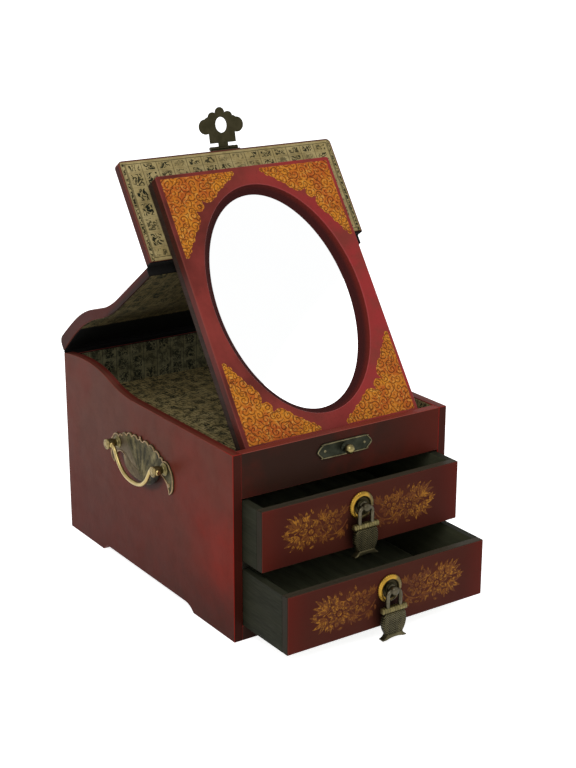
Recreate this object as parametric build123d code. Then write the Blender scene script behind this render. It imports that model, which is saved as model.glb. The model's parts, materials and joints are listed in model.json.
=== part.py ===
from build123d import *
import math
import os

os.makedirs("parts", exist_ok=True)

# A lacquered vanity box: a wooden case with two drawers, a lid in two hinged
# leaves, and an oval mirror fixed under the front leaf. With the lid raised the
# mirror's foot stands on a rest rail behind the front board and props the lid.
# Millimetres. +X right, +Y to the back, +Z up. The origin is the centre of the
# rectangle that the feet stand in.

# ---- driving dimensions: case ----
case_width = 200.0
case_depth = 268.0
board = 7.5                # sides, front and back
front_height = 150.0       # top edge of the sides, front and middle
hump_height = 163.5        # top edge of the sides at the hump
back_height = 160.0        # top edge at the back
rise_from_back = 120.0     # where the edge starts to rise
hump_from_back = 40.0      # where the hump is highest
rise_start = case_depth - rise_from_back   # both again, from the front
hump_place = case_depth - hump_from_back
fascia_bottom = 114.5      # lower edge of the fixed front board
floor_top = 125.5          # upper face of the compartment's floor board
floor_board = 8.0
bottom_board_low = 6.0     # underside of the case's bottom board
thin_board = 6.0           # bottom board and the divider between the drawers
foot_length = 60.0         # along the sides
front_foot_length = 34.0   # along the front and the back
foot_height = 5.5
foot_ramp = 12.0           # length of the curved step between foot and cut-out
lining = 0.5               # printed paper on its backing

# ---- driving dimensions: drawers ----
lower_drawer_height = 46.0
upper_drawer_height = 48.0
drawer_front = 7.0
drawer_wall = 6.0
drawer_floor = 4.0
drawer_floor_up = 1.0      # drawer bottom's underside above the sides' lower edge
drawer_side_gap = 0.5
drawer_gap = 0.3
drawer_back_gap = 0.6      # left behind a closed drawer
upper_out = 25.6           # how far each drawer stands out at rest
lower_out = 58.6

# ---- driving dimensions: lid ----
lid_thickness = 7.0
lid_gap = 0.3              # between the lining and the sides' top edge when shut
lid_edge_gap = 0.5         # each leaf's edge to the middle hinge line
flap_length = 86.0         # front leaf, from the middle hinge line to the front
foot_behind = 10.35        # mirror's foot at rest, behind the front board's face
foot_level = 146.23        # and its height
hump_lid = 9.6             # thickness of the rear leaf over the hump
lining_start = 42.0        # from the back: where the rear leaf's lining ends

# ---- driving dimensions: mirror ----
mirror_side_margin = 19.0  # bare leaf beside the mirror
mirror_end_margin = 22.5   # from each end of the mirror to the case's front or back, shut
mirror_width = case_width - 2 * mirror_side_margin
mirror_length = case_depth - 2 * mirror_end_margin
frame_thickness = 8.0
backboard_thickness = 6.5
oval_margin = (12.7, 15.6) # frame's narrowest face, across and along
oval_flare = (7.7, 5.9)    # how far the opening narrows towards the glass
oval_front = (mirror_width / 2 - oval_margin[0], mirror_length / 2 - oval_margin[1])
oval_back = (oval_front[0] - oval_flare[0], oval_front[1] - oval_flare[1])
glass_thickness = 3.0
glass_lap = 4.0
glass_gap = 0.3
rest_ledge = 12.0          # depth of the rest rail's ledge
rest_gap = 0.3             # between the rest rail and the mirror's foot

# ---- driving dimensions: hinges and hasp ----
knuckle_radius = 1.6
pin_radius = 0.8
running_gap = 0.05
hinge_length = 26.0
hinge_place = 50.0         # hinge centres from the middle
leaf_thickness = 0.8
hasp_drop = 18.4           # hasp's hinge line to the middle of its hole
hasp_reach = 3.6           # hinge line beyond the front leaf's edge
hasp_level = 4.5           # hinge line above the front leaf's inner face
hasp_half = 12.7           # half the length of the hasp's hinge
hasp_tongue = 4.5          # half width of the moving knuckle
hasp_thickness = 1.2
hasp_swing = 67.5          # degrees that the hasp is turned up at rest
knob_level = 136.6
plate_half = (26.0, 20.0, 6.3)   # half length, half straight edge, half height
plate_sheet = 0.9
plate_rim = 0.6
knob_radius = 4.1
knob_reach = 8.6

# ---- driving dimensions: pulls ----
rosette_radius = 11.0
rosette_rise = 3.0
eye_radius = 3.0
pull_axis_out = 6.0        # pull's swing axis in front of the drawer's face
lower_pull_up = 6.8        # swing axes above the middle of each drawer's face
upper_pull_up = 9.2
shackle_radius = 1.4
shackle_half = 7.0         # shackle's legs from the middle
shackle_leg = 13.0
bar_width = 25.0           # ribbed bar under the shackle
bar_height = 4.6
bar_depth = 6.0
bar_ribs = 10
basket_depth = 4.8
basket_drop = 22.2         # from the bar to the foot's lower edge
foot_width = 25.0
upper_pull_shift = -2.5

# ---- driving dimensions: bail handles ----
handle_shift = 1.4         # handle's middle, behind the case's middle
handle_level = 108.5
post_half = 37.5           # posts from the handle's middle
bail_out = 9.0             # bail's swing axis from the side's face
bail_radius = 1.6
bail_drop = 20.5           # from the swing axis to the grip's centre line
bail_neck = 31.5           # where each end turns down, from the handle's middle
bail_foot = 14.0           # where the grip's straight part would begin
bail_round = 15.0
post_radius = 3.4
post_reach = 12.6
handle_sheet = 1.4

front = -case_depth / 2
back = case_depth / 2
half_inner = case_width / 2 - board
lid_lift = lining + lid_gap
rest_pitch = 1.0           # lining stops this far below the top edges


def save(node, solid):
    """Write one node; solid may be a list of separate solids."""
    if isinstance(solid, (list, tuple)):
        solid = Compound(children=list(solid))
    export_step(solid, f"parts/{node}.step")


def slab(x0, x1, y0, y1, z0, z1):
    """A block between the given planes."""
    block = Box(x1 - x0, y1 - y0, z1 - z0)
    return Pos((x0 + x1) / 2, (y0 + y1) / 2, (z0 + z1) / 2) * block


def across(lines, x0, x1):
    """Extrude a closed (y, z) outline from x0 to x1."""
    face = Plane.YZ * make_face(lines)
    return Pos(x0, 0, 0) * extrude(face, amount=x1 - x0, dir=(1, 0, 0))


def rod(radius, length, centre, direction):
    """A cylinder about its centre, along a direction."""
    return Plane(centre, z_dir=direction) * Cylinder(radius, length)


# ---------------------------------------------------------------- case boards
def ogee(start, end):
    """Two tangent arcs, level at both ends, that meet half way."""
    start, end = Vector(start), Vector(end)
    middle = (start + end) / 2
    first = TangentArc(start, middle, tangent=(1, 0))
    return first + TangentArc(middle, end, tangent=first % 1)


def rim(lift, y0=front, y1=back):
    """Upper edge of the sides, raised by lift: level, then an ogee to the hump."""
    level = Line((y0, front_height + lift), (front + rise_start, front_height + lift))
    hump = (front + hump_place, hump_height + lift)
    fall = TangentArc(hump, (y1, back_height + lift), tangent=(1, 0))
    return level + ogee(level @ 1, hump) + fall


def foot_line(start, end, foot):
    """Lower edge from start to end with a cut-out between two feet."""
    ramp_up = TangentArc((start + foot + foot_ramp, foot_height), (start + foot, 0),
                         tangent=(-1, 0))
    ramp_down = TangentArc((end - foot - foot_ramp, foot_height), (end - foot, 0),
                           tangent=(1, 0))
    return (Line((start, 0), ramp_up @ 1) + ramp_up + Line(ramp_up @ 0, ramp_down @ 0)
            + ramp_down + Line(ramp_down @ 1, (end, 0)))


def side_panel(x0):
    top = rim(0)
    bottom = foot_line(front, back, foot_length)
    ends = Line((front, 0), top @ 0) + Line((back, 0), top @ 1)
    return across(top + bottom + ends, x0, x0 + board)


def footed_board(y0, top):
    """A front or back board between the sides, standing on two feet."""
    bottom = foot_line(-half_inner, half_inner, front_foot_length)
    rest = Polyline((half_inner, 0), (half_inner, top), (-half_inner, top), (-half_inner, 0))
    face = Plane.XZ * make_face(bottom + rest)
    return Pos(0, y0, 0) * extrude(face, amount=board, dir=(0, 1, 0))


bottom_top = bottom_board_low + thin_board
lower_low = bottom_top + drawer_gap
lower_high = lower_low + lower_drawer_height
divider_low = lower_high + drawer_gap
upper_low = divider_low + thin_board + drawer_gap
upper_high = upper_low + upper_drawer_height
inner_front = front + board
inner_back = back - board
lining_top = floor_top + lining


def wall_lining(side):
    """Paper on a side's inner face, up to just below its top edge."""
    top = rim(-rest_pitch, inner_front, inner_back)
    rest = Polyline(top @ 1, (inner_back, lining_top), (inner_front, lining_top), top @ 0)
    x0 = half_inner - lining if side > 0 else -half_inner
    return across(top + rest, x0, x0 + lining)


half_lined = half_inner - lining


def build_case():
    save("side_panel_left", side_panel(-case_width / 2))
    save("side_panel_right", side_panel(half_inner))
    save("front_fascia", slab(-half_inner, half_inner, front, inner_front,
                              fascia_bottom, front_height))
    save("front_rail", footed_board(front, bottom_top))
    save("back_panel", footed_board(inner_back, back_height))
    save("bottom_board", slab(-half_inner, half_inner, inner_front, inner_back,
                              bottom_board_low, bottom_top))
    save("drawer_divider", slab(-half_inner, half_inner, front, inner_back,
                                divider_low, divider_low + thin_board))
    save("compartment_floor", slab(-half_inner, half_inner, inner_front, inner_back,
                                   floor_top - floor_board, floor_top))
    save("floor_lining", slab(-half_inner, half_inner, inner_front, inner_back,
                              floor_top, lining_top))
    save("wall_lining_left", wall_lining(-1))
    save("wall_lining_right", wall_lining(1))
    save("wall_lining_front", slab(-half_lined, half_lined, inner_front, inner_front + lining,
                                   lining_top, front_height - rest_pitch))
    save("wall_lining_back", slab(-half_lined, half_lined, inner_back - lining, inner_back,
                                  lining_top, back_height - rest_pitch))
    stop, ledge = mirror_rest()
    save("mirror_stop", stop)
    save("mirror_ledge", ledge)


# ------------------------------------------------------------ lid, in place shut
lid_low = front_height + lid_lift
rear_axis = (back + knuckle_radius + 0.1, back_height + lid_lift / 2)
mid_axis = (front + flap_length, lid_low + lid_thickness)
mirror_top = front + mirror_end_margin
mirror_foot = mirror_top + mirror_length
mirror_mid = (mirror_top + mirror_foot) / 2
paper_low = lid_low - lining
joint_level = paper_low - backboard_thickness
face_level = joint_level - frame_thickness


def heading(start, end):
    """Direction from one (y, z) point to another, in degrees."""
    return math.degrees(math.atan2(end[1] - start[1], end[0] - start[0]))


def rest_angles():
    """How far the leaves are turned where the mirror's foot stands on its rest.

    The two hinge lines and the foot are the corners of a triangle with known sides.
    """
    foot = (front + foot_behind, foot_level)
    near = math.dist(rear_axis, mid_axis)
    far = math.dist(mid_axis, (mirror_foot, face_level))
    span = math.dist(rear_axis, foot)
    corner = math.acos((near ** 2 + span ** 2 - far ** 2) / (2 * near * span))
    raised = heading(rear_axis, foot) % 360 - math.degrees(corner)
    knee = (rear_axis[0] + near * math.cos(math.radians(raised)),
            rear_axis[1] + near * math.sin(math.radians(raised)))
    opened = (heading(rear_axis, mid_axis) - raised) % 360
    turned = heading(mid_axis, (mirror_foot, face_level)) - heading(knee, foot)
    return opened, (turned - opened) % 360


rear_open, flap_fold = rest_angles()
rear_turn = Pos(0, *rear_axis) * Rot(X=-rear_open) * Pos(0, -rear_axis[0], -rear_axis[1])
fold_turn = Pos(0, *mid_axis) * Rot(X=-flap_fold) * Pos(0, -mid_axis[0], -mid_axis[1])
flap_turn = rear_turn * fold_turn
lid_half = case_width / 2


def rear_leaf():
    """The rear leaf shut: an ogee board with a rolled back edge."""
    low = rim(lid_lift, front + flap_length + lid_edge_gap)
    hump = (front + hump_place, hump_height + lid_lift + hump_lid)
    edge = (low @ 0) + (0, lid_thickness)
    level = Line(edge, (front + rise_start - 1, lid_low + lid_thickness))
    rise = ogee(level @ 1, hump)
    shoulder = TangentArc(hump, (back - 6, back_height + lid_lift + 11.6), tangent=(1, 0))
    roll = TangentArc(shoulder @ 1, (back, back_height + lid_lift + 6), tangent=shoulder % 1)
    ends = Line(low @ 0, edge) + Line(roll @ 1, low @ 1)
    return across(low + level + rise + shoulder + roll + ends, -lid_half, lid_half)


def lid_sheet(y0, y1, x_half):
    """A sheet under the rear leaf between two depths."""
    upper = rim(lid_lift)
    lower = rim(lid_lift - lining)
    ends = Line(upper @ 0, lower @ 0) + Line(upper @ 1, lower @ 1)
    sheet = across(upper + lower + ends, -x_half, x_half)
    return sheet & slab(-x_half, x_half, y0, y1, 0, 2 * hump_height)


def hinge_rod(centre, radius, x0, x1):
    """A round length of a hinge about its axis."""
    return rod(radius, x1 - x0, ((x0 + x1) / 2, *centre), (1, 0, 0))


def knuckles(centre, leaf, moving):
    """Both hinges' leaves: a bored middle knuckle, or two outer ones with the pin."""
    half = hinge_length / 2
    inner = hinge_length / 6
    parts = []
    for x in (-hinge_place, hinge_place):
        body = Pos(x, 0, 0) * leaf
        if moving:
            for side in (-1, 1):
                x0, x1 = sorted((x + side * (inner - 0.1), x + side * (half + 1)))
                body -= hinge_rod(centre, knuckle_radius + 0.15, x0, x1)
            body += hinge_rod(centre, knuckle_radius, x - inner + 0.1, x + inner - 0.1)
            body -= hinge_rod(centre, pin_radius + running_gap, x - half, x + half)
        else:
            body -= hinge_rod(centre, knuckle_radius + 0.15, x - inner - 0.1, x + inner + 0.1)
            for side in (-1, 1):
                x0, x1 = sorted((x + side * (inner + 0.1), x + side * half))
                body += hinge_rod(centre, knuckle_radius, x0, x1)
            body += hinge_rod(centre, pin_radius, x - half, x + half)
        parts.append(body)
    return parts


def rear_leaves():
    """Leaves of the rear hinges on the case's back and on the lid's back edge."""
    y, z = rear_axis
    half = hinge_length / 2
    case_leaf = slab(-half, half, back, back + leaf_thickness, z - 11, z)
    lid_leaf = slab(-half, half, back, back + leaf_thickness, z, z + 5.5)
    return knuckles(rear_axis, case_leaf, False), knuckles(rear_axis, lid_leaf, True)


def mid_leaves():
    """Leaves of the middle hinges, let into the two meeting edges."""
    y, z = mid_axis
    half = hinge_length / 2
    low = lid_low + 1
    rear = slab(-half, half, y + 0.05, y + 0.05 + leaf_thickness, low, z)
    flap = slab(-half, half, y - 0.05 - leaf_thickness, y - 0.05, low, z)
    return knuckles(mid_axis, rear, False), knuckles(mid_axis, flap, True)


def hinge_mortises(side):
    """Pockets in a leaf's meeting edge for the middle hinges: side is +1 rear, -1 front."""
    y, z = mid_axis
    cuts = []
    for x in (-hinge_place, hinge_place):
        x0, x1 = x - hinge_length / 2 - 0.2, x + hinge_length / 2 + 0.2
        near, far = y, y + side * (leaf_thickness + 0.05)
        cuts.append(slab(x0, x1, min(near, far), max(near, far), lid_low + 1, z + 1))
        cuts.append(hinge_rod(mid_axis, knuckle_radius + 0.3, x0, x1))
    return cuts


def build_lid():
    panel = rear_leaf()
    for cut in hinge_mortises(1):
        panel -= cut
    save("rear_lid_panel", rear_turn * panel)
    x_half = lid_half - 1.5
    split = back - lining_start
    save("rear_lid_lining", rear_turn * lid_sheet(front + flap_length + 1, split, x_half))
    save("rear_lid_strip", rear_turn * lid_sheet(split, back - 2, x_half))
    case_leaves, lid_leaves = rear_leaves()
    save("rear_hinge_case_leaves", case_leaves)
    save("rear_hinge_lid_leaves", [rear_turn * part for part in lid_leaves])
    mid_rear, mid_flap = mid_leaves()
    save("mid_hinge_rear_leaves", [rear_turn * part for part in mid_rear])
    save("mid_hinge_front_leaves", [flap_turn * part for part in mid_flap])


# --------------------------------------------------------- front leaf and mirror
flap_back = mid_axis[0] - lid_edge_gap
flap_front = front + lid_edge_gap


def front_leaf():
    leaf = slab(-lid_half, lid_half, flap_front, flap_back, lid_low, lid_low + lid_thickness)
    corners = leaf.edges().filter_by(Axis.Z).group_by(Axis.Y)[0]
    leaf = fillet(corners, 4)
    for cut in hinge_mortises(-1):
        leaf -= cut
    return leaf


def oval(half_x, half_y, level):
    return Pos(0, mirror_mid, level) * Ellipse(half_x, half_y)


def mirror_frame():
    """The frame's board with its flared oval opening, face down as when shut."""
    frame = slab(-mirror_width / 2, mirror_width / 2, mirror_top, mirror_foot,
                 face_level, joint_level)
    frame = fillet(frame.edges().filter_by(Axis.Z), 2)
    flare = loft([oval(*oval_front, face_level), oval(*oval_back, joint_level)])
    frame -= flare
    return chamfer(frame.faces().sort_by(Axis.Z)[0].edges(), 0.9)


def mirror_glass(grow, depth):
    shape = oval(oval_back[0] + glass_lap + grow, oval_back[1] + glass_lap + grow, joint_level)
    return extrude(shape, amount=depth, dir=(0, 0, 1))


def mirror_backboard():
    board_back = slab(-mirror_width / 2, mirror_width / 2, mirror_top, mirror_foot,
                      joint_level, paper_low)
    board_back = fillet(board_back.edges().filter_by(Axis.Z), 2)
    return board_back - mirror_glass(glass_gap, glass_thickness)


def mirror_rest():
    """Two strips behind the front board: a stop before the mirror's foot, a ledge under it."""
    corner = (flap_turn * Pos(0, mirror_foot, face_level)).position
    y0 = inner_front + lining
    stop_back = corner.Y - rest_gap
    ledge_back = y0 + rest_ledge
    slope = math.tan(math.radians(rear_open + flap_fold - 90))
    ledge_front = corner.Z - rest_gap + (corner.Y - stop_back) * slope
    ledge_low = corner.Z - rest_gap - (ledge_back - corner.Y) * slope
    outline = Polyline((stop_back, lining_top), (ledge_back, lining_top),
                       (ledge_back, ledge_low), (stop_back, ledge_front), close=True)
    stop = slab(-half_lined, half_lined, y0, stop_back, lining_top, front_height - 2)
    return stop, across(outline, -half_lined, half_lined)


def build_flap():
    save("front_leaf", flap_turn * front_leaf())
    save("front_leaf_lining", flap_turn * slab(-lid_half + 1.5, lid_half - 1.5, flap_front + 1.5,
                                               flap_back - 1, paper_low, lid_low))
    save("mirror_frame", flap_turn * mirror_frame())
    save("mirror_backboard", flap_turn * mirror_backboard())
    save("mirror_glass", flap_turn * mirror_glass(0, glass_thickness - 0.02))


# ----------------------------------------------------------------- hasp and catch
hasp_axis = (flap_front - hasp_reach, lid_low + hasp_level)
hasp_turn = flap_turn * Pos(0, *hasp_axis) * Rot(X=-hasp_swing) * Pos(0, -hasp_axis[0],
                                                                      -hasp_axis[1])
hasp_lobes = ((0, 10.2, 3.9), (7.7, 6.2, 4.1), (15.0, 0.0, 5.7))   # x, up from hole, radius


def hasp_plate():
    """A five-lobed leaf with an oval hole and a tongue, hanging down as when shut."""
    y, z = hasp_axis
    hole_z = z - hasp_drop
    flower = Circle(10.5)
    for x, up, radius in hasp_lobes:
        for side in (-1, 1):
            flower += Pos(side * x, -up) * Circle(radius)
    flower += Pos(8, 0) * Rectangle(14, 8) + Pos(-8, 0) * Rectangle(14, 8)
    neck_low, neck_high = hasp_drop - 3.8, 4.0
    neck = make_face(Polyline((-11.6, neck_low), (11.6, neck_low), (10.6, neck_high - 8),
                              (-10.6, neck_high - 8), close=True))
    flower += neck
    flower -= Ellipse(5.4, 6.2)
    sheet = extrude(Plane.XZ * flower, amount=hasp_thickness / 2, both=True)
    sheet = Pos(0, y, hole_z) * sheet
    tongue = slab(-hasp_tongue, hasp_tongue, y - hasp_thickness / 2, y + hasp_thickness / 2,
                  z - 4.5, z)
    knuckle = rod(knuckle_radius, 2 * hasp_tongue, (0, y, z), (1, 0, 0))
    bore = rod(pin_radius + running_gap, 4 * hasp_tongue, (0, y, z), (1, 0, 0))
    return sheet + tongue + knuckle - bore


def hasp_leaf():
    """The fixed leaf on the front leaf's edge: two knuckles and the pin between them."""
    y, z = hasp_axis
    sheet = slab(-hasp_half, hasp_half, flap_front - leaf_thickness, flap_front,
                 lid_low + 0.5, lid_low + lid_thickness - 0.4)
    inner = hasp_tongue + 0.25
    for side in (-1, 1):
        x0, x1 = sorted((side * inner, side * hasp_half))
        web = slab(x0, x1, y, flap_front - leaf_thickness / 2, z - 0.6, z + 0.6)
        sheet += web + hinge_rod(hasp_axis, knuckle_radius, x0, x1)
    return sheet + hinge_rod(hasp_axis, pin_radius, -hasp_half, hasp_half)


def front_plate():
    """The catch's long plate with pointed ends and a raised rim."""
    length, straight, height = plate_half
    points = [(-length, 0), (-straight, height), (straight, height), (length, 0),
              (straight, -height), (-straight, -height)]
    outline = make_face(Polyline(*points, close=True))
    outline = fillet(outline.vertices(), 2)
    inner = offset(outline, -1.4)
    sheet = extrude(Plane.XZ * outline, amount=plate_sheet, dir=(0, -1, 0))
    rim_band = extrude(Plane.XZ * (outline - inner), amount=plate_sheet + plate_rim,
                       dir=(0, -1, 0))
    return Pos(0, front, knob_level) * (sheet + rim_band)


def catch_knob():
    """A turned bead on a short neck, with narrow lands round its ball."""
    centre = knob_reach - knob_radius
    lands = [(knob_radius * math.cos(math.radians(turn)),
              centre + knob_radius * math.sin(math.radians(turn)))
             for turn in (-54, -30, -8, 14, 36, 60, 78)]
    neck = lands[0][0]
    profile = Polyline((0, plate_sheet), (neck, plate_sheet), *lands, (0, knob_reach), close=True)
    return Pos(0, front, knob_level) * Rot(X=90) * revolve(Plane.XZ * make_face(profile), Axis.Z)


def build_hasp():
    save("hasp_plate", hasp_turn * hasp_plate())
    save("hasp_leaf", flap_turn * hasp_leaf())
    save("front_plate", front_plate())
    save("catch_knob", catch_knob())


# ------------------------------------------------------------------------ drawers
drawer_half = half_inner - drawer_side_gap
drawer_length = inner_back - front - drawer_back_gap


def drawer(name, low, height, out, pull_shift, pull_up):
    face_y = front - out
    high = low + height
    box_front = face_y + drawer_front
    box_back = face_y + drawer_length
    front_board = slab(-drawer_half, drawer_half, face_y, box_front, low, high)
    front_board = fillet(front_board.faces().sort_by(Axis.Y)[0].edges(), 0.7)
    save(f"{name}_front", front_board)
    for side, label in ((-1, "left"), (1, "right")):
        x0, x1 = sorted((side * drawer_half, side * (drawer_half - drawer_wall)))
        save(f"{name}_{label}", slab(x0, x1, box_front, box_back, low, high))
    inner = drawer_half - drawer_wall
    floor_low = low + drawer_floor_up
    save(f"{name}_back", slab(-inner, inner, box_back - drawer_wall, box_back,
                              floor_low, high))
    save(f"{name}_bottom", slab(-inner, inner, box_front, box_back - drawer_wall,
                                floor_low, floor_low + drawer_floor))
    pull(name, pull_shift, face_y, (low + high) / 2 + pull_up)


# -------------------------------------------------------------------------- pulls
def rosette():
    """A stepped, domed disc facing +Z, with a hole for the eye."""
    rise = rosette_rise
    edge = rosette_radius
    profile = Polyline((0, 0), (edge, 0), (edge, 0.9), (edge - 2.0, 1.5),
                       (edge * 0.45, rise), (0, rise), close=True)
    disc = revolve(Plane.XZ * make_face(profile), Axis.Z)
    return disc - Cylinder(eye_radius + running_gap, 20)


def pull_eye():
    """A round post with a cross hole for the shackle."""
    reach = pull_axis_out + 3.4
    post = Pos(0, 0, reach / 2) * Cylinder(eye_radius, reach)
    post = chamfer(post.faces().sort_by(Axis.Z)[-1].edges(), 0.9)
    return post - rod(shackle_radius + running_gap, 20, (0, 0, pull_axis_out), (1, 0, 0))


def pendant_outline(top):
    """The basket below the bar, swelling and then drawn in to a waist."""
    right = (ThreePointArc((10.6, top), (11.9, top - 8), (8.4, top - 18.4)))
    left = mirror(right, about=Plane.YZ)
    return make_face(right + left + Line(right @ 0, left @ 0) + Line(right @ 1, left @ 1))


def pendant():
    """The hanging pull, its swing axis on the X axis: shackle, ribbed bar, basket, foot."""
    path = FilletPolyline((-shackle_half, 0, -shackle_leg), (-shackle_half, 0, 0),
                          (shackle_half, 0, 0), (shackle_half, 0, -shackle_leg), radius=3)
    start = Plane(path @ 0, z_dir=path % 0)
    shackle = sweep(start * RegularPolygon(shackle_radius, 8), path=path)
    shackle += rod(shackle_radius, 2 * eye_radius + 1, (0, 0, 0), (1, 0, 0))
    top = -shackle_leg + 0.6
    bar = chamfer((Pos(0, 0, top - bar_height / 2) * Box(bar_width, bar_depth, bar_height)).edges(), 0.7)
    for rib in range(bar_ribs - 1):
        x = bar_width * ((rib + 1) / bar_ribs - 0.5)
        for side in (-1, 1):
            groove = Pos(x, side * bar_depth / 2, top) * Rot(Z=45) * Box(0.9, 0.9, 3 * bar_height)
            bar -= groove
    low = top - bar_height
    body = extrude(Plane.XZ * pendant_outline(low), amount=basket_depth / 2, both=True)
    foot_top, foot_low = low - 18.4, low - basket_drop
    foot = loft([Pos(0, 0, foot_top) * Rectangle(16.8, basket_depth),
                 Pos(0, 0, foot_low) * Rectangle(foot_width, bar_depth)])
    return shackle + bar + body + foot


def pull(name, shift, face_y, level):
    facing = Pos(shift, face_y, level) * Rot(X=90)
    save(f"{name}_rosette", facing * rosette())
    save(f"{name}_eye", facing * pull_eye())
    save(f"{name}_pendant", Pos(shift, face_y - pull_axis_out, level) * pendant())


# ------------------------------------------------------------------- bail handles
def handle_outline():
    """Half of the scalloped plate, from its top point round to its lower middle."""
    return (ThreePointArc((0, 15.8), (2.4, 12.6), (6.2, 11.9))
            + ThreePointArc((6.2, 11.9), (19, 13.8), (32, 9.6))
            + Line((32, 9.6), (35.4, 6.4))
            + ThreePointArc((35.4, 6.4), (41.5, 6.9), (46, 3.4))
            + ThreePointArc((46, 3.4), (49.8, -2.5), (50.2, -9.5))
            + ThreePointArc((50.2, -9.5), (48.6, -16), (43.8, -19.6))
            + ThreePointArc((43.8, -19.6), (41.6, -12.8), (36.4, -6.8))
            + ThreePointArc((36.4, -6.8), (27.5, -1.6), (18.2, -2.6))
            + ThreePointArc((18.2, -2.6), (11.8, -13.2), (0, -18.5)))


def handle_plate():
    """The plate flat in XY, its outer face at +Z, edge softened."""
    half = handle_outline()
    outline = half + mirror(half, about=Plane.YZ)
    sheet = extrude(make_face(outline), amount=handle_sheet)
    return sheet


def handle_post():
    """A turned post that carries one end of the bail, standing on the plate."""
    sheet = handle_sheet
    profile = Polyline((0, sheet), (5.2, sheet), (post_radius, sheet + 2.2),
                       (post_radius, post_reach - 1.4), (2.4, post_reach),
                       (0, post_reach), close=True)
    post = revolve(Plane.XZ * make_face(profile), Axis.Z)
    return post - rod(bail_radius + running_gap, 20, (0, 0, bail_out), (1, 0, 0))


def bail():
    """The drop handle, hammered to eight flats, with round ends in the posts."""
    path = FilletPolyline((-post_half - 2, 0), (-bail_neck, 0), (-bail_foot, -bail_drop),
                          (bail_foot, -bail_drop), (bail_neck, 0), (post_half + 2, 0),
                          radius=[3.4, bail_round, bail_round, 3.4])
    start = Plane(path @ 0, z_dir=path % 0)
    wire = sweep(start * RegularPolygon(bail_radius, 8), path=path)
    for side in (-1, 1):
        wire += rod(bail_radius, 6.6, (side * (post_half - 1.0), 0, 0), (1, 0, 0))
    return wire


def build_handle(name, side):
    """Everything is drawn facing +Z and turned to face the case's side."""
    facing = (Pos(side * case_width / 2, handle_shift, handle_level)
              * Rot(Z=90 * side) * Rot(X=90))
    save(f"{name}_handle_plate", facing * handle_plate())
    save(f"{name}_handle_posts", [facing * Pos(x, 0, 0) * handle_post()
                                  for x in (-post_half, post_half)])
    save(f"{name}_bail", facing * Pos(0, 0, bail_out) * bail())


build_case()
build_lid()
build_flap()
build_hasp()
drawer("lower_drawer", lower_low, lower_drawer_height, lower_out, 0, lower_pull_up)
drawer("upper_drawer", upper_low, upper_drawer_height, upper_out, upper_pull_shift,
       upper_pull_up)
build_handle("left", -1)
build_handle("right", 1)
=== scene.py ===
"""A lacquered vanity box with a folding mirror: finishes and fine pieces over its fixed frame."""

import json
import math
from functools import cached_property, partialmethod

import bmesh
import bpy
from bpy.props import FloatProperty, FloatVectorProperty, PointerProperty
from mathutils import Matrix, Vector


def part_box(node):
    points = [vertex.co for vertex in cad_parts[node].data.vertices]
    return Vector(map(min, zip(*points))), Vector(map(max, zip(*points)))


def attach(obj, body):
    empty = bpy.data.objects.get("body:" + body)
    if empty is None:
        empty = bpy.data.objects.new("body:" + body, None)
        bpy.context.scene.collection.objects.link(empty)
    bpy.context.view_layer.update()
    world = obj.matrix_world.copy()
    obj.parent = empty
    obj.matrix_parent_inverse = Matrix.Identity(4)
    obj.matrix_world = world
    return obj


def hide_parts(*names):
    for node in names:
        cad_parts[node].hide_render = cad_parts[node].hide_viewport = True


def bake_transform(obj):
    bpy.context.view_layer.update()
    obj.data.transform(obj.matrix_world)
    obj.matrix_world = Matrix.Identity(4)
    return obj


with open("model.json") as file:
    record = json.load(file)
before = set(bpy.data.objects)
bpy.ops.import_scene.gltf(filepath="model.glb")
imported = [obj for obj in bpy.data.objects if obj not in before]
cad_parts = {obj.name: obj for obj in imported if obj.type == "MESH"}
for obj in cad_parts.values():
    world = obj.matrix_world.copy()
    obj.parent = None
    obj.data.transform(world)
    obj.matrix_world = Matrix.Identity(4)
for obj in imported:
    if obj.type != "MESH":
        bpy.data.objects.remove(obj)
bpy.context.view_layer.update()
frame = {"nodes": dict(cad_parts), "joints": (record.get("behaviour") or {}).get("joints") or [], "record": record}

bl_info = {
    "name": "Vanity Box With Mirror",
    "version": (1, 0, 0),
    "blender": (4, 5, 0),
    "location": "3D View > Sidebar > Vanity Box",
    "description": "Finishes and fine pieces of a lacquered vanity box with a folding mirror",
    "category": "Add Mesh",
}

MM = 0.001
AXIS = 0.01  # radius at which a turned profile closes on its axis
BODY_OF = {node: body for body, nodes in frame["record"]["behaviour"]["bodies"].items()
           for node in nodes}
JOINT = {joint["name"]: joint for joint in frame["joints"]}
LEAF_HINGE = Vector(JOINT["flap_hinge"]["pos_m"])
# In metres: half widths of the case inside and outside, and of a drawer inside, and the
# front of the back board
INNER_HALF, CASE_HALF = (corner[0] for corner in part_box("side_panel_right"))
DRAWER_INNER_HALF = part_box("upper_drawer_right")[0][0]
INNER_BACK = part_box("back_panel")[0][1]

# In millimetres
FRAME_HALF = (81.0, 111.5)  # half width and half height of the mirror's frame
FRAME_MIDDLE = -48.0  # the frame's middle, up the leaf from its hinge
FRAME_BACK, FRAME_FACE = 14.0, 22.0  # levels above the leaf's hinge
PLATE_MIDDLE = (1.4, 108.5)  # middle of a handle plate, along the side and above the floor
PLATE_SHEET = 1.15  # thickness of the handle plates
POST_SPREAD = 37.5  # from a plate's middle to each post
BAIL_OUT = 9.0  # from the side board to the bail's wire
# Drawers: middle across, face, level of the garland, level of the pull, and the pull's body
DRAWERS = {"upper_drawer": (-2.5, -159.6, 88.9, 98.1, "upper_pull"),
           "lower_drawer": (0.0, -192.6, 35.3, 42.1, "lower_pull")}
PULL_OUT = 6.0  # from a drawer's face to the axis that its pull swings on
TAPE_THICKNESS = 0.2
DULL = 0.08  # reflection of paper, bare wood and thin gold


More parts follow.
